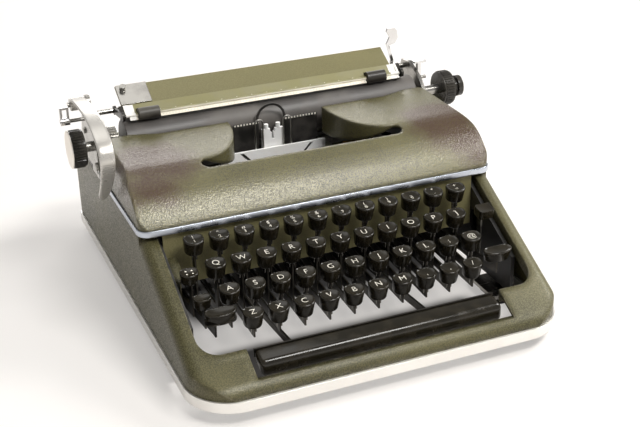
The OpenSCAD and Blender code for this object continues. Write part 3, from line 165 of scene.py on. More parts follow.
def makeRub():  # paint or plating rubbed thin along the edges
    group, takes, gives = newGroup("edgeRub", {"Vector": None, "Radius": 0.0012, "Amount": 1.0}, ["Mask"])
    bendEdge, patchEdge = (0.995, 0.9), (0.42, 0.62)
    rounded = addNode(group, "Bevel", {"samples": 4}, {"Radius": takes["Radius"]})
    face = addNode(group, "NewGeometry")
    facing = addNode(group, "VectorMath", {"operation": "DOT_PRODUCT"}, {
        0: rounded.outputs[0], 1: face.outputs["Normal"]})
    bend = remap(group, facing.outputs["Value"], *bendEdge)
    patchy = addNode(group, "TexNoise", sockets={"Vector": takes["Vector"], "Scale": 170.0, "Detail": 4.0})
    broken = times(group, bend, remap(group, patchy.outputs[0], *patchEdge))
    group.links.new(times(group, broken, takes["Amount"]), gives["Mask"])
    return group


def makeSoftEdge():  # normals that turn gently over an edge
    group, takes, gives = newGroup("softEdge", {"Vector": None, "Radius": 0.001}, ["Normal"])
    rounded = addNode(group, "Bevel", {"samples": 6}, {"Radius": takes["Radius"]})
    group.links.new(rounded.outputs[0], gives["Normal"])
    return group


def makeScratch():  # hairlines along X, as wiping leaves them
    group, takes, gives = newGroup("hairline", {"Vector": None, "Scale": 220.0}, ["Mask"])
    lineEdge = (0.5, 0.75)
    stretch = addNode(group, "Mapping", sockets={"Vector": takes["Vector"], "Scale": (0.06, 1.0, 1.0)})
    noise = addNode(group, "TexNoise", sockets={
        "Vector": stretch.outputs[0], "Scale": takes["Scale"], "Detail": 3.0, "Roughness": 0.7})
    group.links.new(remap(group, noise.outputs[0], *lineEdge), gives["Mask"])
    return group


speckleGroup = makeSpeckle()
driftGroup = makeDrift()
rubGroup = makeRub()
softGroup = makeSoftEdge()
scratchGroup = makeScratch()
print("shared effects made")


def drift(tree, place, scale, **values):
    return useGroup(tree, driftGroup, place, Scale=scale, **values)["Mask"]


# Finishes

olive = {
    "dark": "3d3a23", "light": "4f4b2f", "grain": "8f8962", "worn": "40271f", "bare": "a39b86",
    "speckleScale": 1200.0, "speckleShare": 0.48, "bump": 0.55, "depthMm": 0.24,
    "matt": 0.16, "shine": 0.06,  # rougher between the grains and smoother on them
    # handled places on the cover: how far their edge wanders, how brown and smooth they are, and their
    # middles and reaches in mm from the body's middle
    "wander": 30.0, "wornShare": 0.95, "wornGloss": 0.08, "wornGrain": 0.62,
    "patches": [((-114, 6, 112), 20, 42), ((-120, -16, 104), 14, 32),
                ((118, -6, 116), 18, 42), ((130, -28, 108), 10, 28)],
}


def handledMask(tree, place, speckle):  # 1 where hands have rubbed the cover
    wobble = addNode(tree, "TexNoise", sockets={
        "Vector": place, "Scale": 45.0, "Detail": 5.0, "Roughness": 0.65})
    wander = Vector((1, 1, 1)) * olive["wander"] * mm
    push = addNode(tree, "VectorMath", {"operation": "MULTIPLY_ADD"}, {
        0: wobble.outputs["Color"], 1: wander, 2: place})
    worn = 0.0
    for spot, inner, outer in olive["patches"]:
        centre = Vector(spot) * mm + wander / 2 + Vector((middleX, 0, 0))
        away = addNode(tree, "VectorMath", {"operation": "DISTANCE"}, {0: push.outputs[0], 1: centre})
        worn = reckon(tree, "MAXIMUM", remap(tree, away.outputs["Value"], outer * mm, inner * mm), worn)
    return times(tree, worn, fromTo(tree, speckle, 1.0, olive["wornGrain"], "LINEAR"))


def olivePaint(name, handled, edgeMm, grainy=1.0, paintedLightShare=0.0, gloss=0.35, smooth=0.36):
    material, tree, shader, place = newMaterial(
        name, Metallic=0.1, Coat_Weight=0.1, Coat_Roughness=0.25, Specular_IOR_Level=gloss)
    grain = useGroup(tree, speckleGroup, place, Scale=olive["speckleScale"])
    rub = useGroup(tree, rubGroup, place, Radius=0.0014, Amount=0.55)["Mask"]
    base = mixColour(tree, drift(tree, place, 9.0), olive["dark"], olive["light"])
    # painted light: the paint is lightened toward its grain colour where the lamps leave a part too dark
    base = mixColour(tree, paintedLightShare, base, olive["grain"])
    flecks = times(tree, grain["Speckle"], olive["speckleShare"] * grainy)
    base = mixColour(tree, flecks, base, olive["grain"])
    rough = fromTo(tree, grain["Speckle"], smooth + olive["matt"], smooth - olive["shine"], "LINEAR")
    if handled:
        worn = handledMask(tree, place, grain["Speckle"])
        base = mixColour(tree, times(tree, worn, olive["wornShare"]), base, olive["worn"])
        rough = reckon(tree, "SUBTRACT", rough, times(tree, worn, olive["wornGloss"]))
    setSkin(tree, shader, mixColour(tree, rub, base, olive["bare"]), rough)
    raiseGrain(tree, shader, place, grain["Height"], olive["bump"] * grainy, olive["depthMm"], edgeMm)
    return material


plating = {
    "lineScale": 200.0, "breathScale": 34.0, "dullShare": 0.5, "roughSpread": 0.2,
    "bump": 0.004, "depthMm": 0.05,
}


def platedMetal(name, tint, rough, dull, metallic=1.0, edgeMm=0):
    material, tree, shader, place = newMaterial(name, Metallic=metallic)
    lines = useGroup(tree, scratchGroup, place, Scale=plating["lineScale"])["Mask"]
    breath = drift(tree, place, plating["breathScale"])
    spread = rough * plating["roughSpread"]
    matt = reckon(tree, "MULTIPLY_ADD", lines, spread, rough)
    matt = reckon(tree, "MULTIPLY_ADD", breath, spread, matt)
    setSkin(tree, shader, mixColour(tree, times(tree, breath, plating["dullShare"]), tint, dull), matt)
    raiseGrain(tree, shader, place, lines, plating["bump"], plating["depthMm"], edgeMm)
    return material


blackPaint = {"tint": "191817", "worn": "4a4743", "agedShare": 0.3, "rough": (0.42, 0.57)}


def paintedMetal(name):
    material, tree, shader, place = newMaterial(name)
    grain = useGroup(tree, speckleGroup, place, Scale=2400.0)
    tone = drift(tree, place, 26.0)
    rub = useGroup(tree, rubGroup, place, Radius=0.0008, Amount=0.8)["Mask"]
    base = mixColour(tree, times(tree, tone, blackPaint["agedShare"]), blackPaint["tint"], blackPaint["worn"])
    base = mixColour(tree, rub, base, blackPaint["worn"])
    setSkin(tree, shader, base, fromTo(tree, tone, *blackPaint["rough"]))
    raiseGrain(tree, shader, place, grain["Height"], bump=0.12, depthMm=0.1, edgeMm=0.4)
    return material


steelTint = {"light": "9a9994", "dark": "5b5954"}
keyTint = {"body": "1b1810", "handled": "2a251a"}
knobTint = {"body": "2a2825", "handled": "413e38"}
keySkin = {"rubbed": "4a463e", "touchShare": 0.55, "rubShare": 0.5, "rough": (0.15, 0.23), "leverRough": 0.36}
capTilt = math.radians(10)


def keyPlastic(name, splitAxis=None, splitAt=None, edgeMm=0.3, tint=keyTint):  # lever steel below the split
    material, tree, shader, place = newMaterial(name, Specular_IOR_Level=0.38)
    grain = useGroup(tree, speckleGroup, place, Scale=2600.0)
    touch = drift(tree, place, 95.0)
    rub = useGroup(tree, rubGroup, place, Radius=0.0007, Amount=0.5)["Mask"]
    base = mixColour(tree, times(tree, touch, keySkin["touchShare"]), tint["body"], tint["handled"])
    base = mixColour(tree, times(tree, rub, keySkin["rubShare"]), base, keySkin["rubbed"])
    rough = fromTo(tree, touch, *keySkin["rough"])
    if splitAxis:
        along = addNode(tree, "VectorMath", {"operation": "DOT_PRODUCT"}, {0: place, 1: splitAxis})
        plastic = reckon(tree, "GREATER_THAN", along.outputs["Value"], splitAt)
        steel = mixColour(tree, touch, steelTint["dark"], steelTint["light"])
        base = mixColour(tree, plastic, steel, base)
        rough = fromTo(tree, plastic, keySkin["leverRough"], rough, "LINEAR")
        plug(tree, shader["Metallic"], reckon(tree, "SUBTRACT", 1.0, plastic))
    setSkin(tree, shader, base, rough)
    raiseGrain(tree, shader, place, grain["Height"], bump=0.05, depthMm=0.06, edgeMm=edgeMm)
    return material


rubber = {"streakShare": 0.5, "roughSpread": 0.12}


def rubberSkin(name, tint, dusty, rough, streak):
    material, tree, shader, place = newMaterial(name, Specular_IOR_Level=0.4)
    lines = useGroup(tree, scratchGroup, place, Scale=streak)["Mask"]
    tone = drift(tree, place, 18.0)
    grain = useGroup(tree, speckleGroup, place, Scale=1900.0)
    base = mixColour(tree, tone, tint, dusty)
    base = mixColour(tree, times(tree, lines, rubber["streakShare"]), base, dusty)
    setSkin(tree, shader, base, fromTo(tree, tone, rough, rough + rubber["roughSpread"]))
    raiseGrain(tree, shader, place, grain["Height"], bump=0.15, depthMm=0.1, edgeMm=0.5)
    return material


bailScale = {
    "cream": "efe9d8", "olive": "837f59", "ink": "3a372f", "bracket": "e9e7e2", "arm": "3a3835",
    "soil": "6f6a58", "soilShare": 0.2, "armMetal": 0.85, "rough": (0.3, 0.45), "armIn": 3.2,
    "bracketWidth": 11.0,
    # the cream band, ticks and dots as shares of the scale's width, a tick's width as one of its pitch
    "creamTo": 0.27, "tickRow": (0.06, 0.15), "tickPitch": 2.54, "tickWidth": 0.13, "tickInk": 0.4,
    "dotAt": 0.44, "dotPitch": 12.7, "dotR": 0.55,
    # lower edge of the scale (y, z), the way it rises and its width
    "edge": (67.5, 131.2), "riseDeg": 38.7, "width": 14.0,
}


def stepAlong(tree, x, pitch):  # 0 to 1 from one mark to the next
    return reckon(tree, "FRACT", reckon(tree, "DIVIDE", x, pitch * mm))


def bailFinish(name):  # arms of dark steel, and a scale with a cream band under an olive one
    material, tree, shader, place = newMaterial(name)
    low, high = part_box("paper_bail")
    axes = addNode(tree, "SeparateXYZ", sockets={0: place}).outputs
    x = axes["X"]
    tone = drift(tree, place, 40.0)
    rise = math.radians(bailScale["riseDeg"])
    along = addNode(tree, "VectorMath", {"operation": "DOT_PRODUCT"}, {
        0: place, 1: (0.0, math.cos(rise), math.sin(rise))}).outputs["Value"]
    start = (math.cos(rise) * bailScale["edge"][0] + math.sin(rise) * bailScale["edge"][1]) * mm
    share = remap(tree, along, start, start + bailScale["width"] * mm, 0.0, 1.0, "LINEAR")
    creamBand = reckon(tree, "LESS_THAN", share, bailScale["creamTo"])
    base = mixColour(tree, creamBand, bailScale["olive"], bailScale["cream"])
    tick = reckon(tree, "LESS_THAN", stepAlong(tree, x, bailScale["tickPitch"]), bailScale["tickWidth"])
    tick = times(tree, tick, between(tree, share, *bailScale["tickRow"]))
    base = mixColour(tree, times(tree, tick, bailScale["tickInk"]), base, bailScale["ink"])
    step = stepAlong(tree, x, bailScale["dotPitch"])
    aside = times(tree, reckon(tree, "SUBTRACT", step, 0.5), bailScale["dotPitch"])
    above = times(tree, reckon(tree, "SUBTRACT", share, bailScale["dotAt"]), bailScale["width"])
    away = reckon(tree, "SQRT", reckon(tree, "MULTIPLY_ADD", aside, aside, times(tree, above, above)))
    base = mixColour(tree, reckon(tree, "LESS_THAN", away, bailScale["dotR"]), base, bailScale["cream"])
    base = mixColour(tree, times(tree, tone, bailScale["soilShare"]), base, bailScale["soil"])
    bracket = bailScale["bracketWidth"] * mm
    middle = between(tree, x, low.x + bracket, high.x - bracket)
    base = mixColour(tree, middle, bailScale["bracket"], base)
    armIn = bailScale["armIn"] * mm
    raised = reckon(tree, "GREATER_THAN", axes["Z"], bailScale["edge"][1] * mm)
    plate = times(tree, between(tree, x, low.x + armIn, high.x - armIn), raised)
    base = mixColour(tree, plate, bailScale["arm"], base)
    setSkin(tree, shader, base, fromTo(tree, tone, *bailScale["rough"]))
    plug(tree, shader["Metallic"], fromTo(tree, plate, bailScale["armMetal"], 0.0, "LINEAR"))
    return material


lineScale = {
    "black": "1d1c1b", "faded": "34312e", "ink": "e6e2d6", "rough": (0.32, 0.5),
    "pitch": 2.54, "tickWidth": 0.5, "row": (116.5, 117.9),  # foot and top of the ticks
}


def lineScaleFinish(name):  # black plates with a row of white ticks along their upper edge
    material, tree, shader, place = newMaterial(name)
    axes = addNode(tree, "SeparateXYZ", sockets={0: place}).outputs
    tone = drift(tree, place, 70.0)
    grain = useGroup(tree, speckleGroup, place, Scale=2600.0)
    tick = reckon(tree, "LESS_THAN", stepAlong(tree, axes["X"], lineScale["pitch"]), lineScale["tickWidth"])
    row = between(tree, axes["Z"], *(z * mm for z in lineScale["row"]))
    base = mixColour(tree, tone, lineScale["black"], lineScale["faded"])
    base = mixColour(tree, times(tree, tick, row), base, lineScale["ink"])
    setSkin(tree, shader, base, fromTo(tree, tone, *lineScale["rough"]))
    raiseGrain(tree, shader, place, grain["Height"], bump=0.1, depthMm=0.1, edgeMm=0.3)
    return material


def inkFinish(name, tint, worn):
    material, tree, shader, place = newMaterial(name)
    tone = drift(tree, place, 420.0, Low=0.5, High=0.72)
    setSkin(tree, shader, mixColour(tree, tone, tint, worn), 0.55)
    return material


def feltFinish(name, dark, light):
    material, tree, shader, place = newMaterial(name)
    grain = useGroup(tree, speckleGroup, place, Scale=900.0)
    setSkin(tree, shader, mixColour(tree, grain["Speckle"], dark, light), 0.95)
    raiseGrain(tree, shader, place, grain["Height"], bump=0.6, depthMm=0.4, edgeMm=0.3)
    return material


paints = {  # handled or not, softness of edges in mm, grain, painted light (a lighter copy of the paint, for light a part gets too little of), gloss and roughness
    "olivePlain": (False, 7.0, 0.6),
    # the paper table and the key well panel are lighter copies of the paint: painted light, for the light
    # they get too little of
    "oliveSmooth": (False, 0.5, 0.5, 0.5),
    "olivePanel": (False, 0.5, 1.0, 0.7),
    "oliveHandled": (True, 3.5, 1.0, 0.0, 0.55, 0.28),
}
metals = {  # tint, roughness, dulled tint, share of metal and softness of edges in mm
    "chromePlate": ("d9d9da", 0.12, "bdbbb8"),
    "chromeStrip": ("bcc2cc", 0.26, "b0b6c0"),
    "chromeWarm": ("c6c3bd", 0.26, "bcb9b3", 0.55),
    "trimPlate": ("eceae6", 0.3, "e4e2de", 0.75, 0.8),
    "chromeDull": ("a3a19c", 0.22, "7d7a75"),
    "aluminiumFace": ("f4efe7", 0.34, "e6e0d6"),
    # pure white and barely metal: a painted highlight, the glare on the type guide and its bracket put into
    # their colour
    "nickelBright": ("ffffff", 0.34, "f6f4ef", 0.1),
    "steelSatin": ("b4b2ac", 0.3, "85827c"),
    "steelDark": ("524f4a", 0.32, "2e2b28"),
    "brassSatin": ("b59a5a", 0.3, "8a7440"),
}
rubbers = {  # tint, dusty tint, roughness and scale of the streaks
    "platenRubber": ("484543", "5f5b57", 0.4, 60.0),
    "softRubber": ("1b1a19", "312f2c", 0.62, 150.0),
    "rollerRubber": ("2e2b27", "4d4943", 0.34, 150.0),
}
finish = {
    "blackSatin": paintedMetal("blackSatin"),
    "keyBlack": keyPlastic("keyBlack"),
    "knobBlack": keyPlastic("knobBlack", edgeMm=0, tint=knobTint),
    "bailScale": bailFinish("bailScale"),
    "lineScale": lineScaleFinish("lineScale"),
    "felt": feltFinish("felt", "3d3a34", "57524a"),
    "whiteInk": inkFinish("whiteInk", "efeade", "b9b3a2"),
}
for makeFinish, rows in ((olivePaint, paints), (platedMetal, metals), (rubberSkin, rubbers)):
    for finishName, values in rows.items():
        finish[finishName] = makeFinish(finishName, *values)
print("finishes made:", len(finish))


# The nodes of the machine, each with its finish and the rounding of its edges in mm

def geometryGroup(name):
    group = bpy.data.node_groups.new(name, "GeometryNodeTree")
    group.interface.new_socket("Geometry", in_out="INPUT", socket_type="NodeSocketGeometry")
    group.interface.new_socket("Geometry", in_out="OUTPUT", socket_type="NodeSocketGeometry")
    return group, group.nodes.new("NodeGroupInput").outputs[0], group.nodes.new("NodeGroupOutput").inputs[0]


rounding = {
    # degrees past which a face isn't flat, a corner is rounded, and an edge of a node or a new piece is sharp
    "flat": 0.3, "corner": 32.0, "sharp": 33.0, "piece": 40.0,
    "steps": 2, "mergeMm": 0.002, "seamMm": 0.001,
}


def makeJoin():  # joins the loose triangles
    group, takes, gives = geometryGroup("joinTriangles")
    merge = group.nodes.new("GeometryNodeMergeByDistance")
    merge.inputs["Distance"].default_value = rounding["mergeMm"] * mm
    group.links.new(takes, merge.inputs["Geometry"])
    group.links.new(merge.outputs[0], gives)
    return group


def makeShade():  # smooth faces, with the real corners kept sharp
    group, takes, gives = geometryGroup("shadeByAngle")
    smooth = group.nodes.new("GeometryNodeSetShadeSmooth")
    angle = group.nodes.new("GeometryNodeInputMeshEdgeAngle")
    steep = group.nodes.new("FunctionNodeCompare")
    steep.operation = "GREATER_THAN"
    steep.inputs[1].default_value = math.radians(rounding["sharp"])
    sharp = group.nodes.new("GeometryNodeSetShadeSmooth")
    sharp.domain = "EDGE"
    sharp.inputs["Shade Smooth"].default_value = False
    group.links.new(takes, smooth.inputs["Geometry"])
    group.links.new(smooth.outputs[0], sharp.inputs["Geometry"])
    group.links.new(angle.outputs["Unsigned Angle"], steep.inputs[0])
    group.links.new(steep.outputs[0], sharp.inputs["Selection"])
    group.links.new(sharp.outputs[0], gives)
    return group


joinTriangles = makeJoin()
shadeByAngle = makeShade()


def dress(name, material, roundMm):
    node = nodes[name]
    node.data.materials.clear()
    node.data.materials.append(material)
    node.modifiers.new("join", "NODES").node_group = joinTriangles
    if roundMm:
        flat = node.modifiers.new("flat", "DECIMATE")
        flat.decimate_type = "DISSOLVE"
        flat.angle_limit = math.radians(rounding["flat"])
        edge = node.modifiers.new("edge", "BEVEL")
        edge.width = roundMm * mm
        edge.segments = rounding["steps"]
        edge.limit_method = "ANGLE"
        edge.angle_limit = math.radians(rounding["corner"])
    node.modifiers.new("shade", "NODES").node_group = shadeByAngle
    weigh = node.modifiers.new("weigh", "WEIGHTED_NORMAL")
    weigh.keep_sharp = True


plain = {
    "olivePlain": {"body_shell": 0, "ribbon_selector": 0.4},
    "olivePanel": {"key_well_panel": 0.3},
    "oliveSmooth": {"paper_table": 0.4},
    "oliveHandled": {"ribbon_cover": 0},
    "trimPlate": {"base_trim": 0},
    "chromePlate": {"carriage_release": 0.4, "paper_release_lever": 0.4, "line_space_selector": 0.4},
    "chromeDull": {"carriage_frame": 0, "platen_shaft": 0.2, "foot_plates": 0.4, "paper_guide": 0.3},
    "nickelBright": {"type_guide": 0.25, "guide_bracket": 0.25},
    "steelSatin": {"typebars": 0, "typebar_center": 0, "segment": 0, "ribbon_vibrator": 0, "carriage_rail": 0,
                   "margin_rail": 0.3, "key_lever_shaft": 0, "paper_pan": 0.2, "mainspring_drum": 0.3},
    "steelDark": {"key_levers_row_1": 0.12, "key_levers_row_2": 0.12, "key_levers_row_3": 0.12,
                  "key_levers_row_4": 0.12, "lever_comb": 0.2, "carriage_bed": 0.3},
    "brassSatin": {"bell": 0.2, "escapement_wheel": 0.1},
    "blackSatin": {"main_frame": 0, "spool_cups": 0.2, "ribbon_spool_left": 0.2, "ribbon_spool_right": 0.2,
                   "margin_stop_left": 0.4, "margin_stop_right": 0.4},
    "knobBlack": {"knob_left": 0, "knob_right": 0, "variable_button": 0.5},
    "platenRubber": {"platen_roller": 0.4},
    "softRubber": {"rubber_feet": 0.8, "feed_rollers": 0.3},
    "rollerRubber": {"bail_rollers": 0.5},
    "bailScale": {"paper_bail": 0},
    "lineScale": {"line_scale": 0.25},
    "felt": {"type_rest": 0.3},
}
for finishName, members in plain.items():
    for nodeName, roundMm in members.items():
        dress(nodeName, finish[finishName], roundMm)

# the back space key is a black top and a steel lever in one node: the top's middle (y, z), height and edges
backKey = {"middle": (-80.5, 74.5), "height": 7.0, "round": 0.45}
topAxis = (0.0, -math.sin(capTilt), math.cos(capTilt))
backFoot = backKey["middle"][0] * topAxis[1] + backKey["middle"][1] * topAxis[2] - backKey["height"]
dress("backspace_key", keyPlastic("keyBlackOnSteel", topAxis, backFoot * mm), backKey["round"])
print("nodes dressed")


# New pieces

def newObject(name, data):
    added = bpy.data.objects.new(name, data)
    bpy.context.scene.collection.objects.link(added)
    return added


def newPiece(name, sheet, material, body, smoothDeg=rounding["piece"]):
    mesh = meshOf(sheet, name, smoothDeg)
    piece = newObject(name, mesh)
    mesh.materials.clear()
    mesh.materials.append(material)
    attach(piece, body)
    return piece


def meshOf(sheet, name, smoothDeg=None):
    mesh = bpy.data.meshes.new(name)
    sheet.to_mesh(mesh)
    sheet.free()
    if smoothDeg:
        mesh.shade_smooth()
        mesh.set_sharp_from_angle(angle=math.radians(smoothDeg))
    return mesh


def roundedBox(turn, squareness):  # a point of a section between a circle and a box
    power = 2 / squareness
    return (math.copysign(abs(math.cos(turn)) ** power, math.cos(turn)),
            math.copysign(abs(math.sin(turn)) ** power, math.sin(turn)))


def addRod(target, sides, footR, topR, depth, place):
    bmesh.ops.create_cone(target, cap_ends=True, segments=sides, radius1=footR, radius2=topR, depth=depth,
                          matrix=place)


def addMesh(target, mesh, place):  # the mesh itself is used up
    start = len(target.verts)
    target.from_mesh(mesh)
    target.verts.ensure_lookup_table()
    bmesh.ops.transform(target, matrix=place, verts=target.verts[start:])
    bpy.data.meshes.remove(mesh)


def closeTube(sheet):  # the seam and the two ends of a grid that was rolled up
    bmesh.ops.remove_doubles(sheet, verts=sheet.verts[:], dist=rounding["seamMm"] * mm)
    bmesh.ops.holes_fill(sheet, edges=[e for e in sheet.edges if e.is_boundary], sides=0)
    bmesh.ops.recalc_face_normals(sheet, faces=sheet.faces[:])


cap = {
    "half": 7.5, "back": 5.5, "height": 11.5, "dishR": 34.0, "dishH": 0.9, "squareness": 3.2, "around": 56,
    "foot": 0.79,  # share of the full width
    "lap": 0.3,  # how far the centre key's lever reaches into its top
    # height below the rim in mm and share of the full width, from the foot up to the rim
    "sides": [(-11.2, 0.84), (-10.5, 0.875), (-5.0, 0.94), (-1.3, 0.995), (-0.8, 0.995), (-0.4, 0.975),
              (-0.12, 0.94), (0.0, 0.9)],
    "hollow": [0.86, 0.72, 0.5, 0.25],
}


def dishZ(x, y):  # height of the hollowed key top below its rim, in metres
    ballR = cap["dishR"] * mm
    return ballR - cap["dishH"] * mm - math.sqrt(ballR ** 2 - x ** 2 - y ** 2)


def makeCap():  # round in front, square behind, hollowed on top, narrower at its foot
    sheet = bmesh.new()
    bmesh.ops.create_circle(sheet, cap_ends=True, segments=cap["around"], radius=cap["half"] * mm)
    for vert in sheet.verts:
        if vert.co.y > 0:
            across, up = roundedBox(math.atan2(vert.co.y, vert.co.x), cap["squareness"])
            vert.co.x = across * cap["half"] * mm
            vert.co.y = up * cap["back"] * mm
    top = sheet.faces[:]
    share = cap["foot"]
    bmesh.ops.translate(sheet, verts=sheet.verts[:], vec=(0, 0, -cap["height"] * mm))
    bmesh.ops.scale(sheet, verts=sheet.verts[:], vec=(share, share, 1))
    for nextLevel, nextShare in cap["sides"] + [(None, s) for s in cap["hollow"]]:
        under = top
        grown = bmesh.ops.extrude_face_region(sheet, geom=under)["geom"]
        top = [g for g in grown if isinstance(g, bmesh.types.BMFace)]
        if share != cap["foot"]:  # the foot itself stays closed
            bmesh.ops.delete(sheet, geom=under, context="FACES_ONLY")
        ring = [g for g in grown if isinstance(g, bmesh.types.BMVert)]
        bmesh.ops.scale(sheet, verts=ring, vec=(nextShare / share, nextShare / share, 1))
        for vert in ring:
            vert.co.z = dishZ(vert.co.x, vert.co.y) if nextLevel is None else nextLevel * mm
        share = nextShare
    for vert in bmesh.ops.poke(sheet, faces=top)["verts"]:
        vert.co.z = dishZ(vert.co.x, vert.co.y)
    bmesh.ops.recalc_face_normals(sheet, faces=sheet.faces[:])
    return meshOf(sheet, "key_top", rounding["piece"])


legend = {
    "rows": {
        "key_caps_row_1": ("row_1", "1234567890-=", "!\"#$%&'()_*+"),
        "key_caps_row_2": ("row_2", "QWERTYUIOP]", None),
        "key_caps_row_3": ("row_3", "ASDFGHJKL;@", None),
        "key_caps_row_4": ("row_4", "ZXCVBNM,./", None),
    },
    "centreKey": ("row_3", 5), "letterSize": 7.2, "pairSize": 4.7, "ink": 0.1, "lift": -0.2, "pairStep": 2.3,
    "thin": 0.014,  # share of the letter's size that is taken off each side of its strokes
}


def addGlyph(target, text, size, ahead, place):  # ink that follows the dish of the key top
    curve = bpy.data.curves.new("glyph", "FONT")
    curve.body = text
    curve.size = size * mm
    curve.extrude = legend["ink"] * mm
    curve.offset = -legend["thin"] * size * mm
    curve.resolution_u = 4
    curve.align_x = "CENTER"
    curve.align_y = "CENTER"
    glyph = newObject("glyph", curve)
    bpy.context.view_layer.update()
    seen = glyph.evaluated_get(bpy.context.evaluated_depsgraph_get())
    mesh = bpy.data.meshes.new_from_object(seen)
    for vert in mesh.vertices:
        vert.co.y += ahead * mm
        vert.co.z += dishZ(vert.co.x, vert.co.y)
    addMesh(target, mesh, place)
    bpy.data.objects.remove(glyph)
    bpy.data.curves.remove(curve)


def capPlaces(nodeName, count):
    low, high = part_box(nodeName)
    y = low.y + cap["half"] * mm * math.cos(capTilt)
    z = high.z - cap["back"] * mm * math.sin(capTilt)
    first, last = low.x + cap["half"] * mm, high.x - cap["half"] * mm
    step = (last - first) / (count - 1)
    tilt = Matrix.Rotation(capTilt, 4, "X")
    return [Matrix.Translation((first + step * i, y, z)) @ tilt for i in range(count)]


def writeLegends():
    centre = bmesh.new()
    for nodeName, (body, lowerText, upperText) in legend["rows"].items():
        sheet = bmesh.new()
        for i, place in enumerate(capPlaces(nodeName, len(lowerText))):
            target = centre if (body, i) == legend["centreKey"] else sheet
            if upperText:
                addGlyph(target, lowerText[i], legend["pairSize"], -legend["pairStep"], place)
                addGlyph(target, upperText[i], legend["pairSize"], legend["pairStep"], place)
            else:
                addGlyph(target, lowerText[i], legend["letterSize"], legend["lift"], place)
        finishSheet(sheet, "legend_" + body, body)
    finishSheet(centre, "legend_center_key", "center_key")


def finishSheet(sheet, name, body):
    newPiece(name, sheet, finish["whiteInk"], body, None)


stem = {"r": 0.55, "sides": 14, "aside": 1.6, "ahead": -2.2, "from": -10.5, "to": -17.0}


def addStems(target, place):  # the two bent ends of the lever that hold a key top
    long = stem["from"] - stem["to"]
    r = stem["r"] * mm
    for side in (-1, 1):
        middle = Vector((side * stem["aside"], stem["ahead"], stem["to"] + long / 2)) * mm
        addRod(target, stem["sides"], r, r, long * mm, place @ Matrix.Translation(middle))


def stemRows():
    centre = bmesh.new()
    for nodeName, (body, letters, _) in legend["rows"].items():
        sheet = bmesh.new()
        for i, place in enumerate(capPlaces(nodeName, len(letters))):
            addStems(centre if (body, i) == legend["centreKey"] else sheet, place)
        newPiece("stems_" + body, sheet, finish["chromeDull"], body)
    newPiece("stems_center", centre, finish["chromeDull"], "center_key")


def capRows():
    for nodeName, (body, letters, _) in legend["rows"].items():
        sheet = bmesh.new()
        for i, place in enumerate(capPlaces(nodeName, len(letters))):
            if (body, i) != legend["centreKey"]:
                addMesh(sheet, makeCap(), place)
        piece = newPiece("tops_" + body, sheet, finish["keyBlack"], body)
        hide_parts(nodeName)


def trimmedNode(nodeName, planePoint, planeWay):  # the node's own mesh, cut off past a plane and closed
    sheet = bmesh.new()
    sheet.from_mesh(nodes[nodeName].data)
    bmesh.ops.transform(sheet, matrix=nodes[nodeName].matrix_world, verts=sheet.verts[:])
    bmesh.ops.remove_doubles(sheet, verts=sheet.verts[:], dist=rounding["mergeMm"] * mm)
    cutPlane = bmesh.ops.bisect_plane(sheet, geom=sheet.verts[:] + sheet.edges[:] + sheet.faces[:],
                                      plane_co=planePoint, plane_no=planeWay, clear_outer=True)["geom_cut"]
    rim = [g for g in cutPlane if isinstance(g, bmesh.types.BMEdge)]
    bmesh.ops.edgeloop_fill(sheet, edges=rim)
    bmesh.ops.dissolve_limit(sheet, angle_limit=math.radians(rounding["flat"]), verts=sheet.verts[:],
                             edges=sheet.edges[:])
    return sheet


def leverUnder(name, nodeName, body, place, deep):  # the node's own lever, cut off inside its key top
    below = place @ Vector((0, 0, -deep * mm))
    lever = trimmedNode(nodeName, below, place.to_3x3() @ Vector((0, 0, 1)))
    piece = newPiece(name, lever, finish["steelDark"], body, rounding["sharp"])
    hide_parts(nodeName)


def centreKey():  # the key that works the moving typebar: its lever, and a top like the others
    place = capPlaces("key_caps_row_3", len(legend["rows"]["key_caps_row_3"][1]))[legend["centreKey"][1]]
    leverUnder("lever_center", "key_center", "center_key", place, cap["height"] - cap["lap"])
    sheet = bmesh.new()
    addMesh(sheet, makeCap(), place)
    newPiece("top_center", sheet, finish["keyBlack"], "center_key")


sideTops = {
    "tall": 9.0, "leverTop": 7.05, "rim": 1.3,  # down to the foot, to the lever's end and past the rim
    # each node's body and its tops: the middle in mm, from the node's left edge or back from its right one
    # and in y and z, then the length and the depth
    "nodes": {
        "shift_keys": ("shift", [((11.5, -113.0, 55.0), 23.0, 10.5), ((-11.5, -114.0, 56.0), 23.0, 10.5)]),
        "shift_lock_key": ("lock", [((6.5, -99.8, 61.0), 13.0, 8.5)]),
        "margin_release_key": ("margin_key", [((6.7, -80.5, 71.7), 13.4, 11.0)]),
    },
}


def sidePlace(nodeName, spot):
    low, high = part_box(nodeName)
    across, y, z = spot
    x = (low.x if across > 0 else high.x) + across * mm
    return Matrix.Translation((x, y * mm, z * mm)) @ Matrix.Rotation(capTilt, 4, "X")


def makeSideTop(length, depth):  # the common key top, drawn out to another length and depth
    capMesh = makeCap()
    for vert in capMesh.vertices:
        vert.co.x *= length / (2 * cap["half"])
        vert.co.y = (vert.co.y + (cap["half"] - cap["back"]) / 2 * mm) * depth / (cap["half"] + cap["back"])
        if vert.co.z < -sideTops["rim"] * mm:
            vert.co.z *= sideTops["tall"] / cap["height"]
    return capMesh


def sideKeys():  # shift keys, shift lock and margin release: their levers, and tops with a bowed front
    for nodeName, (body, tops) in sideTops["nodes"].items():
        sheet = bmesh.new()
        for spot, length, depth in tops:
            addMesh(sheet, makeSideTop(length, depth), sidePlace(nodeName, spot))
        newPiece("tops_" + body, sheet, finish["keyBlack"], body)
        first = sidePlace(nodeName, tops[0][0])
        leverUnder("levers_" + body, nodeName, body, first, sideTops["leverTop"])


capRows()
stemRows()
centreKey()
sideKeys()
writeLegends()
print("key tops and legends made")

bar = {
    "half": 92.0, "deep": 15.4, "ahead": 1.4, "tall": 13.5, "top": 34.0, "rise": 2.6, "heel": 7.0,
    "edge": 3.8, "steps": 6, "lap": 1.0,
}


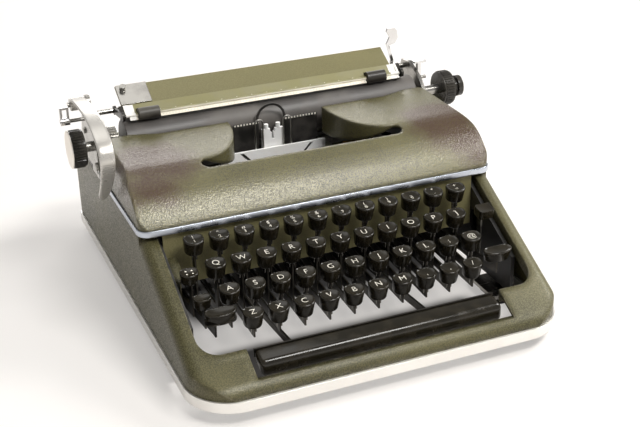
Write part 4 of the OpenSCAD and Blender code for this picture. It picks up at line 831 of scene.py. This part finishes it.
def spaceBar():  # a long bar with well rounded edges, on the node's own two arms
    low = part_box("space_bar")[0]
    size = (2 * bar["half"] * mm, bar["deep"] * mm, bar["tall"] * mm)
    middle = Vector((middleX, low.y - bar["ahead"] * mm + size[1] / 2, bar["top"] * mm - size[2] / 2))
    sheet = bmesh.new()
    bmesh.ops.create_cube(sheet, size=1.0, matrix=Matrix.Translation(middle) @ Matrix.Diagonal((*size, 1)))
    for vert in sheet.verts:
        if vert.co.y > middle.y:
            vert.co.z += (bar["rise"] if vert.co.z > middle.z else bar["heel"]) * mm
    bmesh.ops.bevel(sheet, geom=sheet.edges[:], affect="EDGES", offset=bar["edge"] * mm,
                    segments=bar["steps"], profile=0.5, material=-1)
    piece = newPiece("bar_top", sheet, finish["keyBlack"], "space")
    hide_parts("space_bar")
    armsFrom = low.y + (bar["deep"] - bar["ahead"] - bar["lap"]) * mm
    arms = trimmedNode("space_bar", (0, armsFrom, 0), (0, -1, 0))
    newPiece("bar_arms", arms, finish["steelDark"], "space", rounding["sharp"])


spaceBar()

dots = {"r": 0.75, "sides": 16, "draft": 0.8, "h": 0.16, "spread": (2.2, 1.7), "ahead": 0.6}


def dotKey():  # four white dots on the margin release key
    place = sidePlace("margin_release_key", sideTops["nodes"]["margin_release_key"][1][0][0])
    sheet = bmesh.new()
    r = dots["r"] * mm
    for sx in (-1, 1):
        for sy in (-1, 1):
            x = sx * dots["spread"][0] * mm
            v = (sy * dots["spread"][1] + dots["ahead"]) * mm
            spot = place @ Matrix.Translation((x, v, dishZ(x, v)))
            addRod(sheet, dots["sides"], r, r * dots["draft"], 2 * dots["h"] * mm, spot)
    finishSheet(sheet, "dots_margin_release", "margin_key")


dotKey()

returnBand = {
    "width": 11.4, "thick": 2.4, "steps": 90, "around": 32, "squareness": 4.5,
    "taperFrom": 0.5, "taper": 0.36, "taperPower": 1.5, "roundFrom": 0.94, "blunt": 1.02,
    "boss": 5.0, "bossSides": 40,
    # the band's two arcs in (y, z), from its pivot over the bend to its tip, and the first one's share
    "split": 0.66,
    "root": (84.0, 149.4), "rootPull": (-44.0, 9.5), "bend": (-3.0, 124.0), "bendPull": (-13.0, 26.0),
    "tipPulls": ((6.0, -12.0), (14.0, -21.0)), "tip": (26.0, 90.0), "pivot": (84.0, 146.0),
}


def bandPoint(share):  # a point of the return lever's middle line, in mm
    root, bend, tip = (Vector(returnBand[k]) for k in ("root", "bend", "tip"))
    first, second = (Vector(p) for p in returnBand["tipPulls"])
    split = returnBand["split"]
    if share < split:
        points = (root, root + Vector(returnBand["rootPull"]), bend + Vector(returnBand["bendPull"]), bend)
        t = share / split
    else:
        points = (bend, bend + first, bend + second, tip)
        t = (share - split) / (1 - split)
    weights = ((1 - t) ** 3, 3 * t * (1 - t) ** 2, 3 * t * t * (1 - t), t ** 3)
    return sum((p * w for p, w in zip(points, weights)), Vector((0, 0)))


def returnLever():  # one bowed band with rounded edges and a rounded tip, on its boss
    low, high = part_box("return_lever")
    middle = (low.x + high.x) / 2
    sheet = bmesh.new()
    bmesh.ops.create_grid(sheet, x_segments=returnBand["around"], y_segments=returnBand["steps"], size=0.5)
    small = 0.001
    for vert in sheet.verts:
        share = vert.co.y + 0.5
        turn = 2 * math.pi * vert.co.x
        late = max(0.0, (share - returnBand["taperFrom"]) / (1 - returnBand["taperFrom"]))
        end = max(0.0, (share - returnBand["roundFrom"]) / (1 - returnBand["roundFrom"]))
        width = returnBand["width"] * (1 - returnBand["taper"] * late ** returnBand["taperPower"])
        width *= math.sqrt(returnBand["blunt"] - end ** 2)
        ahead = (bandPoint(min(share + small, 1.0)) - bandPoint(max(share - small, 0.0))).normalized()
        across, up = roundedBox(turn, returnBand["squareness"])
        y, z = bandPoint(share) + Vector((-ahead.y, ahead.x)) * up * returnBand["thick"] / 2
        vert.co = (middle + across * width / 2 * mm, y * mm, z * mm)
    closeTube(sheet)
    y, z = returnBand["pivot"]
    aim = Matrix.Translation((middle, y * mm, z * mm)) @ Matrix.Rotation(math.pi / 2, 4, "Y")
    boss = returnBand["boss"] * mm
    addRod(sheet, returnBand["bossSides"], boss, boss, high.x - low.x, aim)
    piece = newPiece("return_band", sheet, finish["chromeWarm"], "return_arm")
    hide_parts("return_lever")


returnLever()

stripShape = {"corner": 10.2, "deep": 1.7, "steps": 160, "around": 32, "squareness": 4.0}


def stripPoint(share, low, high):  # place on the strip's line round the cover, and the way out from it
    r = stripShape["corner"] * mm
    side = high.y - low.y - r
    arc = math.pi / 2 * r
    half = (high.x - low.x) / 2
    middle = (low.x + high.x) / 2
    total = 2 * (side + arc + half - r)
    run = abs(share - 0.5) * total
    flip = 1 if share > 0.5 else -1
    if run < half - r:
        return Vector((middle + flip * run, low.y)), Vector((0, -1))
    run -= half - r
    if run < arc:
        out = Vector((flip * math.sin(run / r), -math.cos(run / r)))
        return Vector((middle + flip * (half - r), low.y + r)) + out * r, out
    run -= arc
    return Vector((middle + flip * half, low.y + r + min(run, side))), Vector((flip, 0))


def coverStrip():
    low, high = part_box("cover_strip")
    sheet = bmesh.new()
    bmesh.ops.create_grid(sheet, x_segments=stripShape["steps"], y_segments=stripShape["around"], size=0.5)
    for vert in sheet.verts:
        place, out = stripPoint(vert.co.x + 0.5, low, high)
        ahead, up = roundedBox(2 * math.pi * vert.co.y, stripShape["squareness"])
        spot = place - out * stripShape["deep"] * mm * (1 - ahead) / 2
        vert.co = (spot.x, spot.y, (low.z + high.z) / 2 + up * (high.z - low.z) / 2)
    closeTube(sheet)
    piece = newPiece("strip_round", sheet, finish["chromeStrip"], "cover")
    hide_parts("cover_strip")


coverStrip()

knobFace = {
    "sides": 64, "sharp": 50.0,
    # distance from the disc's axis and height over the knob, from the middle to the foot of the rim
    "profile": [(0.0, 0.5), (7.4, 0.45), (14.0, 0.38), (14.6, 0.3), (14.8, 0.1), (14.8, -0.4)],
}


def knobDisc():  # bright turned disc let into the left knob
    low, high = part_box("knob_left")
    y, z = (low.y + high.y) / 2, (low.z + high.z) / 2
    profile = bmesh.new()
    verts = [profile.verts.new((low.x - out * mm, y + reach * mm, z)) for reach, out in knobFace["profile"]]
    edges = [profile.edges.new(pair) for pair in zip(verts, verts[1:])]
    bmesh.ops.spin(profile, geom=verts + edges, cent=(low.x, y, z), axis=(1, 0, 0), angle=2 * math.pi,
                   steps=knobFace["sides"], use_merge=True)
    bmesh.ops.remove_doubles(profile, verts=profile.verts, dist=rounding["seamMm"] * mm)
    bmesh.ops.recalc_face_normals(profile, faces=profile.faces)
    newPiece("knob_disc", profile, finish["aluminiumFace"], "platen", knobFace["sharp"])


knobDisc()

screw = {"sides": 28, "slot": 0.24, "deep": 0.35, "edge": 0.18, "facing": 0.9}


def addScrew(target, centre, axis, radius, height, turn):  # slotted cheese head, its foot at centre
    head = bmesh.new()
    addRod(head, screw["sides"], radius, radius, height, Matrix.Translation((0, 0, height / 2)))
    rim = [e for e in head.edges if all(v.co.z > height / 2 for v in e.verts)]
    bmesh.ops.bevel(head, geom=rim, affect="EDGES", offset=radius * screw["edge"],
                    segments=2, profile=0.5, material=-1)
    half = radius * screw["slot"] / 2
    for side in (-1, 1):
        bmesh.ops.bisect_plane(head, geom=head.verts[:] + head.edges[:] + head.faces[:],
                               plane_co=(side * half, 0, 0), plane_no=(1, 0, 0))
    groove = [f for f in head.faces if f.normal.z > screw["facing"] and abs(f.calc_center_median().x) < half]
    sunk = bmesh.ops.extrude_face_region(head, geom=groove)
    moved = [g for g in sunk["geom"] if isinstance(g, bmesh.types.BMVert)]
    bmesh.ops.translate(head, verts=moved, vec=(0, 0, -height * screw["deep"]))
    aim = Vector(axis).to_track_quat("Z", "Y").to_matrix().to_4x4() @ Matrix.Rotation(turn, 4, "Z")
    addMesh(target, meshOf(head, "screw"), Matrix.Translation(centre) @ aim)


def placeScrews(name, body, material, places):
    sheet = bmesh.new()
    for place in places:
        addScrew(sheet, *place)
    newPiece(name, sheet, material, body)


# on the left end plate: y, z, radius, height and turn; on the line scale: x and turn
plateScrews = [(64, 100, 3.2, 1.6, 0.6), (98, 118, 2.6, 1.4, 1.9)]
scaleScrews = {"places": [(-29, 0.4), (-21, 1.5), (19, 2.2), (29, 0.9)], "z": 91, "r": 1.5, "height": 0.9}
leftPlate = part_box("carriage_bed")[0].x
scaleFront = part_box("line_scale")[0].y
placeScrews("end_plate_screws", "carriage", finish["steelSatin"], [
    ((leftPlate, y * mm, z * mm), (-1, 0, 0), r * mm, height * mm, turn)
    for y, z, r, height, turn in plateScrews])
placeScrews("line_scale_screws", "chassis", finish["steelDark"], [
    ((middleX + x * mm, scaleFront, scaleScrews["z"] * mm), (0, -1, 0), scaleScrews["r"] * mm,
     scaleScrews["height"] * mm, turn) for x, turn in scaleScrews["places"]])
print("small pieces made")


# Floor, light and camera

stage = {
    # plain white in the floor, light from the left and the right, the sky a mirror shows, and tints
    "paleShare": 0.42, "mirrorShare": 0.6, "ambientLeft": 0.14, "ambientRight": 0.36,
    "horizon": 0.9, "zenith": 0.3, "skyFade": (0.1, 0.8), "lampAim": 0.06,
    "ambientTint": (1.0, 0.985, 0.965, 1.0), "skyTint": (1.0, 0.985, 0.97, 1.0),
    "glow": "fcf9f6", "floor": ("f6f3f0", "f3efeb"), "reach": 6.0,
    # under the machine the floor gets a painted shadow, a dark tint and little glow, but for the gap behind
    # the space bar, in mm from the body's front
    "openFrom": (82.0, 98.0), "dimFrom": (120.0, 152.0), "dimShare": 0.03, "paintedShadowTint": "2b2825",
    "dimEdge": (26.0, 44.0),
}


def seenRay(tree):  # 1 where the camera looks, or through glass, and less where a mirror does
    path = addNode(tree, "LightPath").outputs
    mirror = times(tree, path["Is Glossy Ray"], stage["mirrorShare"])
    return reckon(tree, "MAXIMUM", path["Is Camera Ray"], reckon(
        tree, "MAXIMUM", mirror, path["Is Transmission Ray"]))


def makeFloor():
    sheet = bmesh.new()
    bmesh.ops.create_grid(sheet, x_segments=2, y_segments=2, size=stage["reach"])
    mesh = meshOf(sheet, "floor")
    floor = newObject("floor", mesh)
    material, tree, shader, place = newMaterial("paleFloor", Roughness=0.85, Specular_IOR_Level=0.2)
    tone = drift(tree, place, 1.5)
    glow = addNode(tree, "Emission", sockets={"Color": stage["glow"], "Strength": 1.0})
    axes = addNode(tree, "SeparateXYZ", sockets={0: place}).outputs
    back = times(tree, reckon(tree, "SUBTRACT", axes["Y"], shellBox[0].y), 1 / mm)
    opened = remap(tree, back, *stage["openFrom"])
    closed = remap(tree, back, *stage["dimFrom"])
    dim = reckon(tree, "MAXIMUM", reckon(tree, "SUBTRACT", 1.0, opened), closed)
    beside = reckon(tree, "ABSOLUTE", reckon(tree, "SUBTRACT", axes["X"], middleX))
    inX = times(tree, reckon(tree, "SUBTRACT", shellBox[1].x - middleX, beside), 1 / mm)
    inY = times(tree, reckon(tree, "SUBTRACT", shellBox[1].y, axes["Y"]), 1 / mm)
    inside = remap(tree, reckon(tree, "MINIMUM", back, reckon(tree, "MINIMUM", inX, inY)), *stage["dimEdge"])
    # painted shadow under the machine: a darker floor tint and less white glow there
    under = times(tree, dim, inside)
    paintedLightShare = fromTo(tree, under, stage["paleShare"], stage["dimShare"], "LINEAR")
    lit = mixColour(tree, tone, *stage["floor"])
    plug(tree, shader["Base Color"], mixColour(tree, under, lit, stage["paintedShadowTint"]))
    both = addNode(tree, "MixShader", sockets={
        0: times(tree, seenRay(tree), paintedLightShare),
        1: tree.nodes["Principled BSDF"].outputs[0], 2: glow.outputs[0]})
    tree.links.new(both.outputs[0], tree.nodes["Material Output"].inputs["Surface"])
    mesh.materials.append(material)


def makeWorld():
    world = bpy.data.worlds.new("studio")
    bpy.context.scene.world = world
    world.use_nodes = True
    tree = world.node_tree
    tree.nodes.clear()
    way = addNode(tree, "SeparateXYZ", sockets={0: addNode(tree, "TexCoord").outputs["Generated"]}).outputs
    fade = remap(tree, way["Z"], *stage["skyFade"], stage["horizon"], stage["zenith"])
    soft = remap(tree, way["X"], -1.0, 1.0, stage["ambientLeft"], stage["ambientRight"], "LINEAR")
    ambient = addNode(tree, "Background", sockets={"Color": stage["ambientTint"], "Strength": soft})
    shown = addNode(tree, "Background", sockets={"Color": stage["skyTint"], "Strength": fade})
    both = addNode(tree, "MixShader", sockets={0: seenRay(tree), 1: ambient.outputs[0], 2: shown.outputs[0]})
    tree.links.new(both.outputs[0], addNode(tree, "OutputWorld").inputs["Surface"])


warmWhite = (1.0, 0.985, 0.96)
lamps = {
    "frontBox": {"at": (0.42, -0.84, 1.38), "size": (0.7, 0.4), "power": 20.0, "tint": warmWhite},
    "topBox": {"at": (-0.1, 0.55, 1.7), "size": (1.2, 1.0), "power": 6.0, "tint": warmWhite},
    "sideBox": {"at": (1.3, -0.1, 1.2), "size": (0.6, 0.6), "power": 19.0, "tint": warmWhite},
    "rearBox": {"at": (0.25, 1.2, 0.6), "size": (0.9, 0.4), "power": 4.5, "tint": (1.0, 0.98, 0.96)},
}


def makeLamps():
    aimAt = Vector((middleX, 0.0, stage["lampAim"]))
    for name, lamp in lamps.items():
        data = bpy.data.lights.new(name, "AREA")
        data.shape = "RECTANGLE"
        data.size, data.size_y = lamp["size"]
        data.energy = lamp["power"]
        data.color = lamp["tint"]
        box = newObject(name, data)
        box.location = lamp["at"]
        box.rotation_euler = (Vector(lamp["at"]) - aimAt).to_track_quat("Z", "Y").to_euler()


# where the photograph was taken from, in mm from the body's middle
shot = {
    "eye": (-315.48, -803.0, 468.81), "target": (-17.62, -80.85, 96.82),
    "roll": -1.21, "lens": 68.56, "sensor": 36.0,
}


def makeCamera():
    shift = Vector((middleX, 0, 0))
    eye = Vector(shot["eye"]) * mm + shift
    back = (eye - Vector(shot["target"]) * mm - shift).normalized()
    right = Vector((0, 0, 1)).cross(back).normalized()
    up = back.cross(right)
    roll = math.radians(shot["roll"])
    tiltedRight = right * math.cos(roll) + up * math.sin(roll)
    tiltedUp = up * math.cos(roll) - right * math.sin(roll)
    data = bpy.data.cameras.new("camera")
    data.sensor_fit = "HORIZONTAL"
    data.sensor_width = shot["sensor"]
    data.lens = shot["lens"]
    data.clip_start = 0.01
    data.clip_end = 50.0
    camera = newObject("camera", data)
    turned = Matrix((tiltedRight, tiltedUp, back)).transposed().to_4x4()
    camera.matrix_world = Matrix.Translation(eye) @ turned
    bpy.context.scene.camera = camera


makeFloor()
makeWorld()
makeLamps()
makeCamera()
bpy.context.scene.view_settings.view_transform = "Standard"
print("stage, light and camera set")
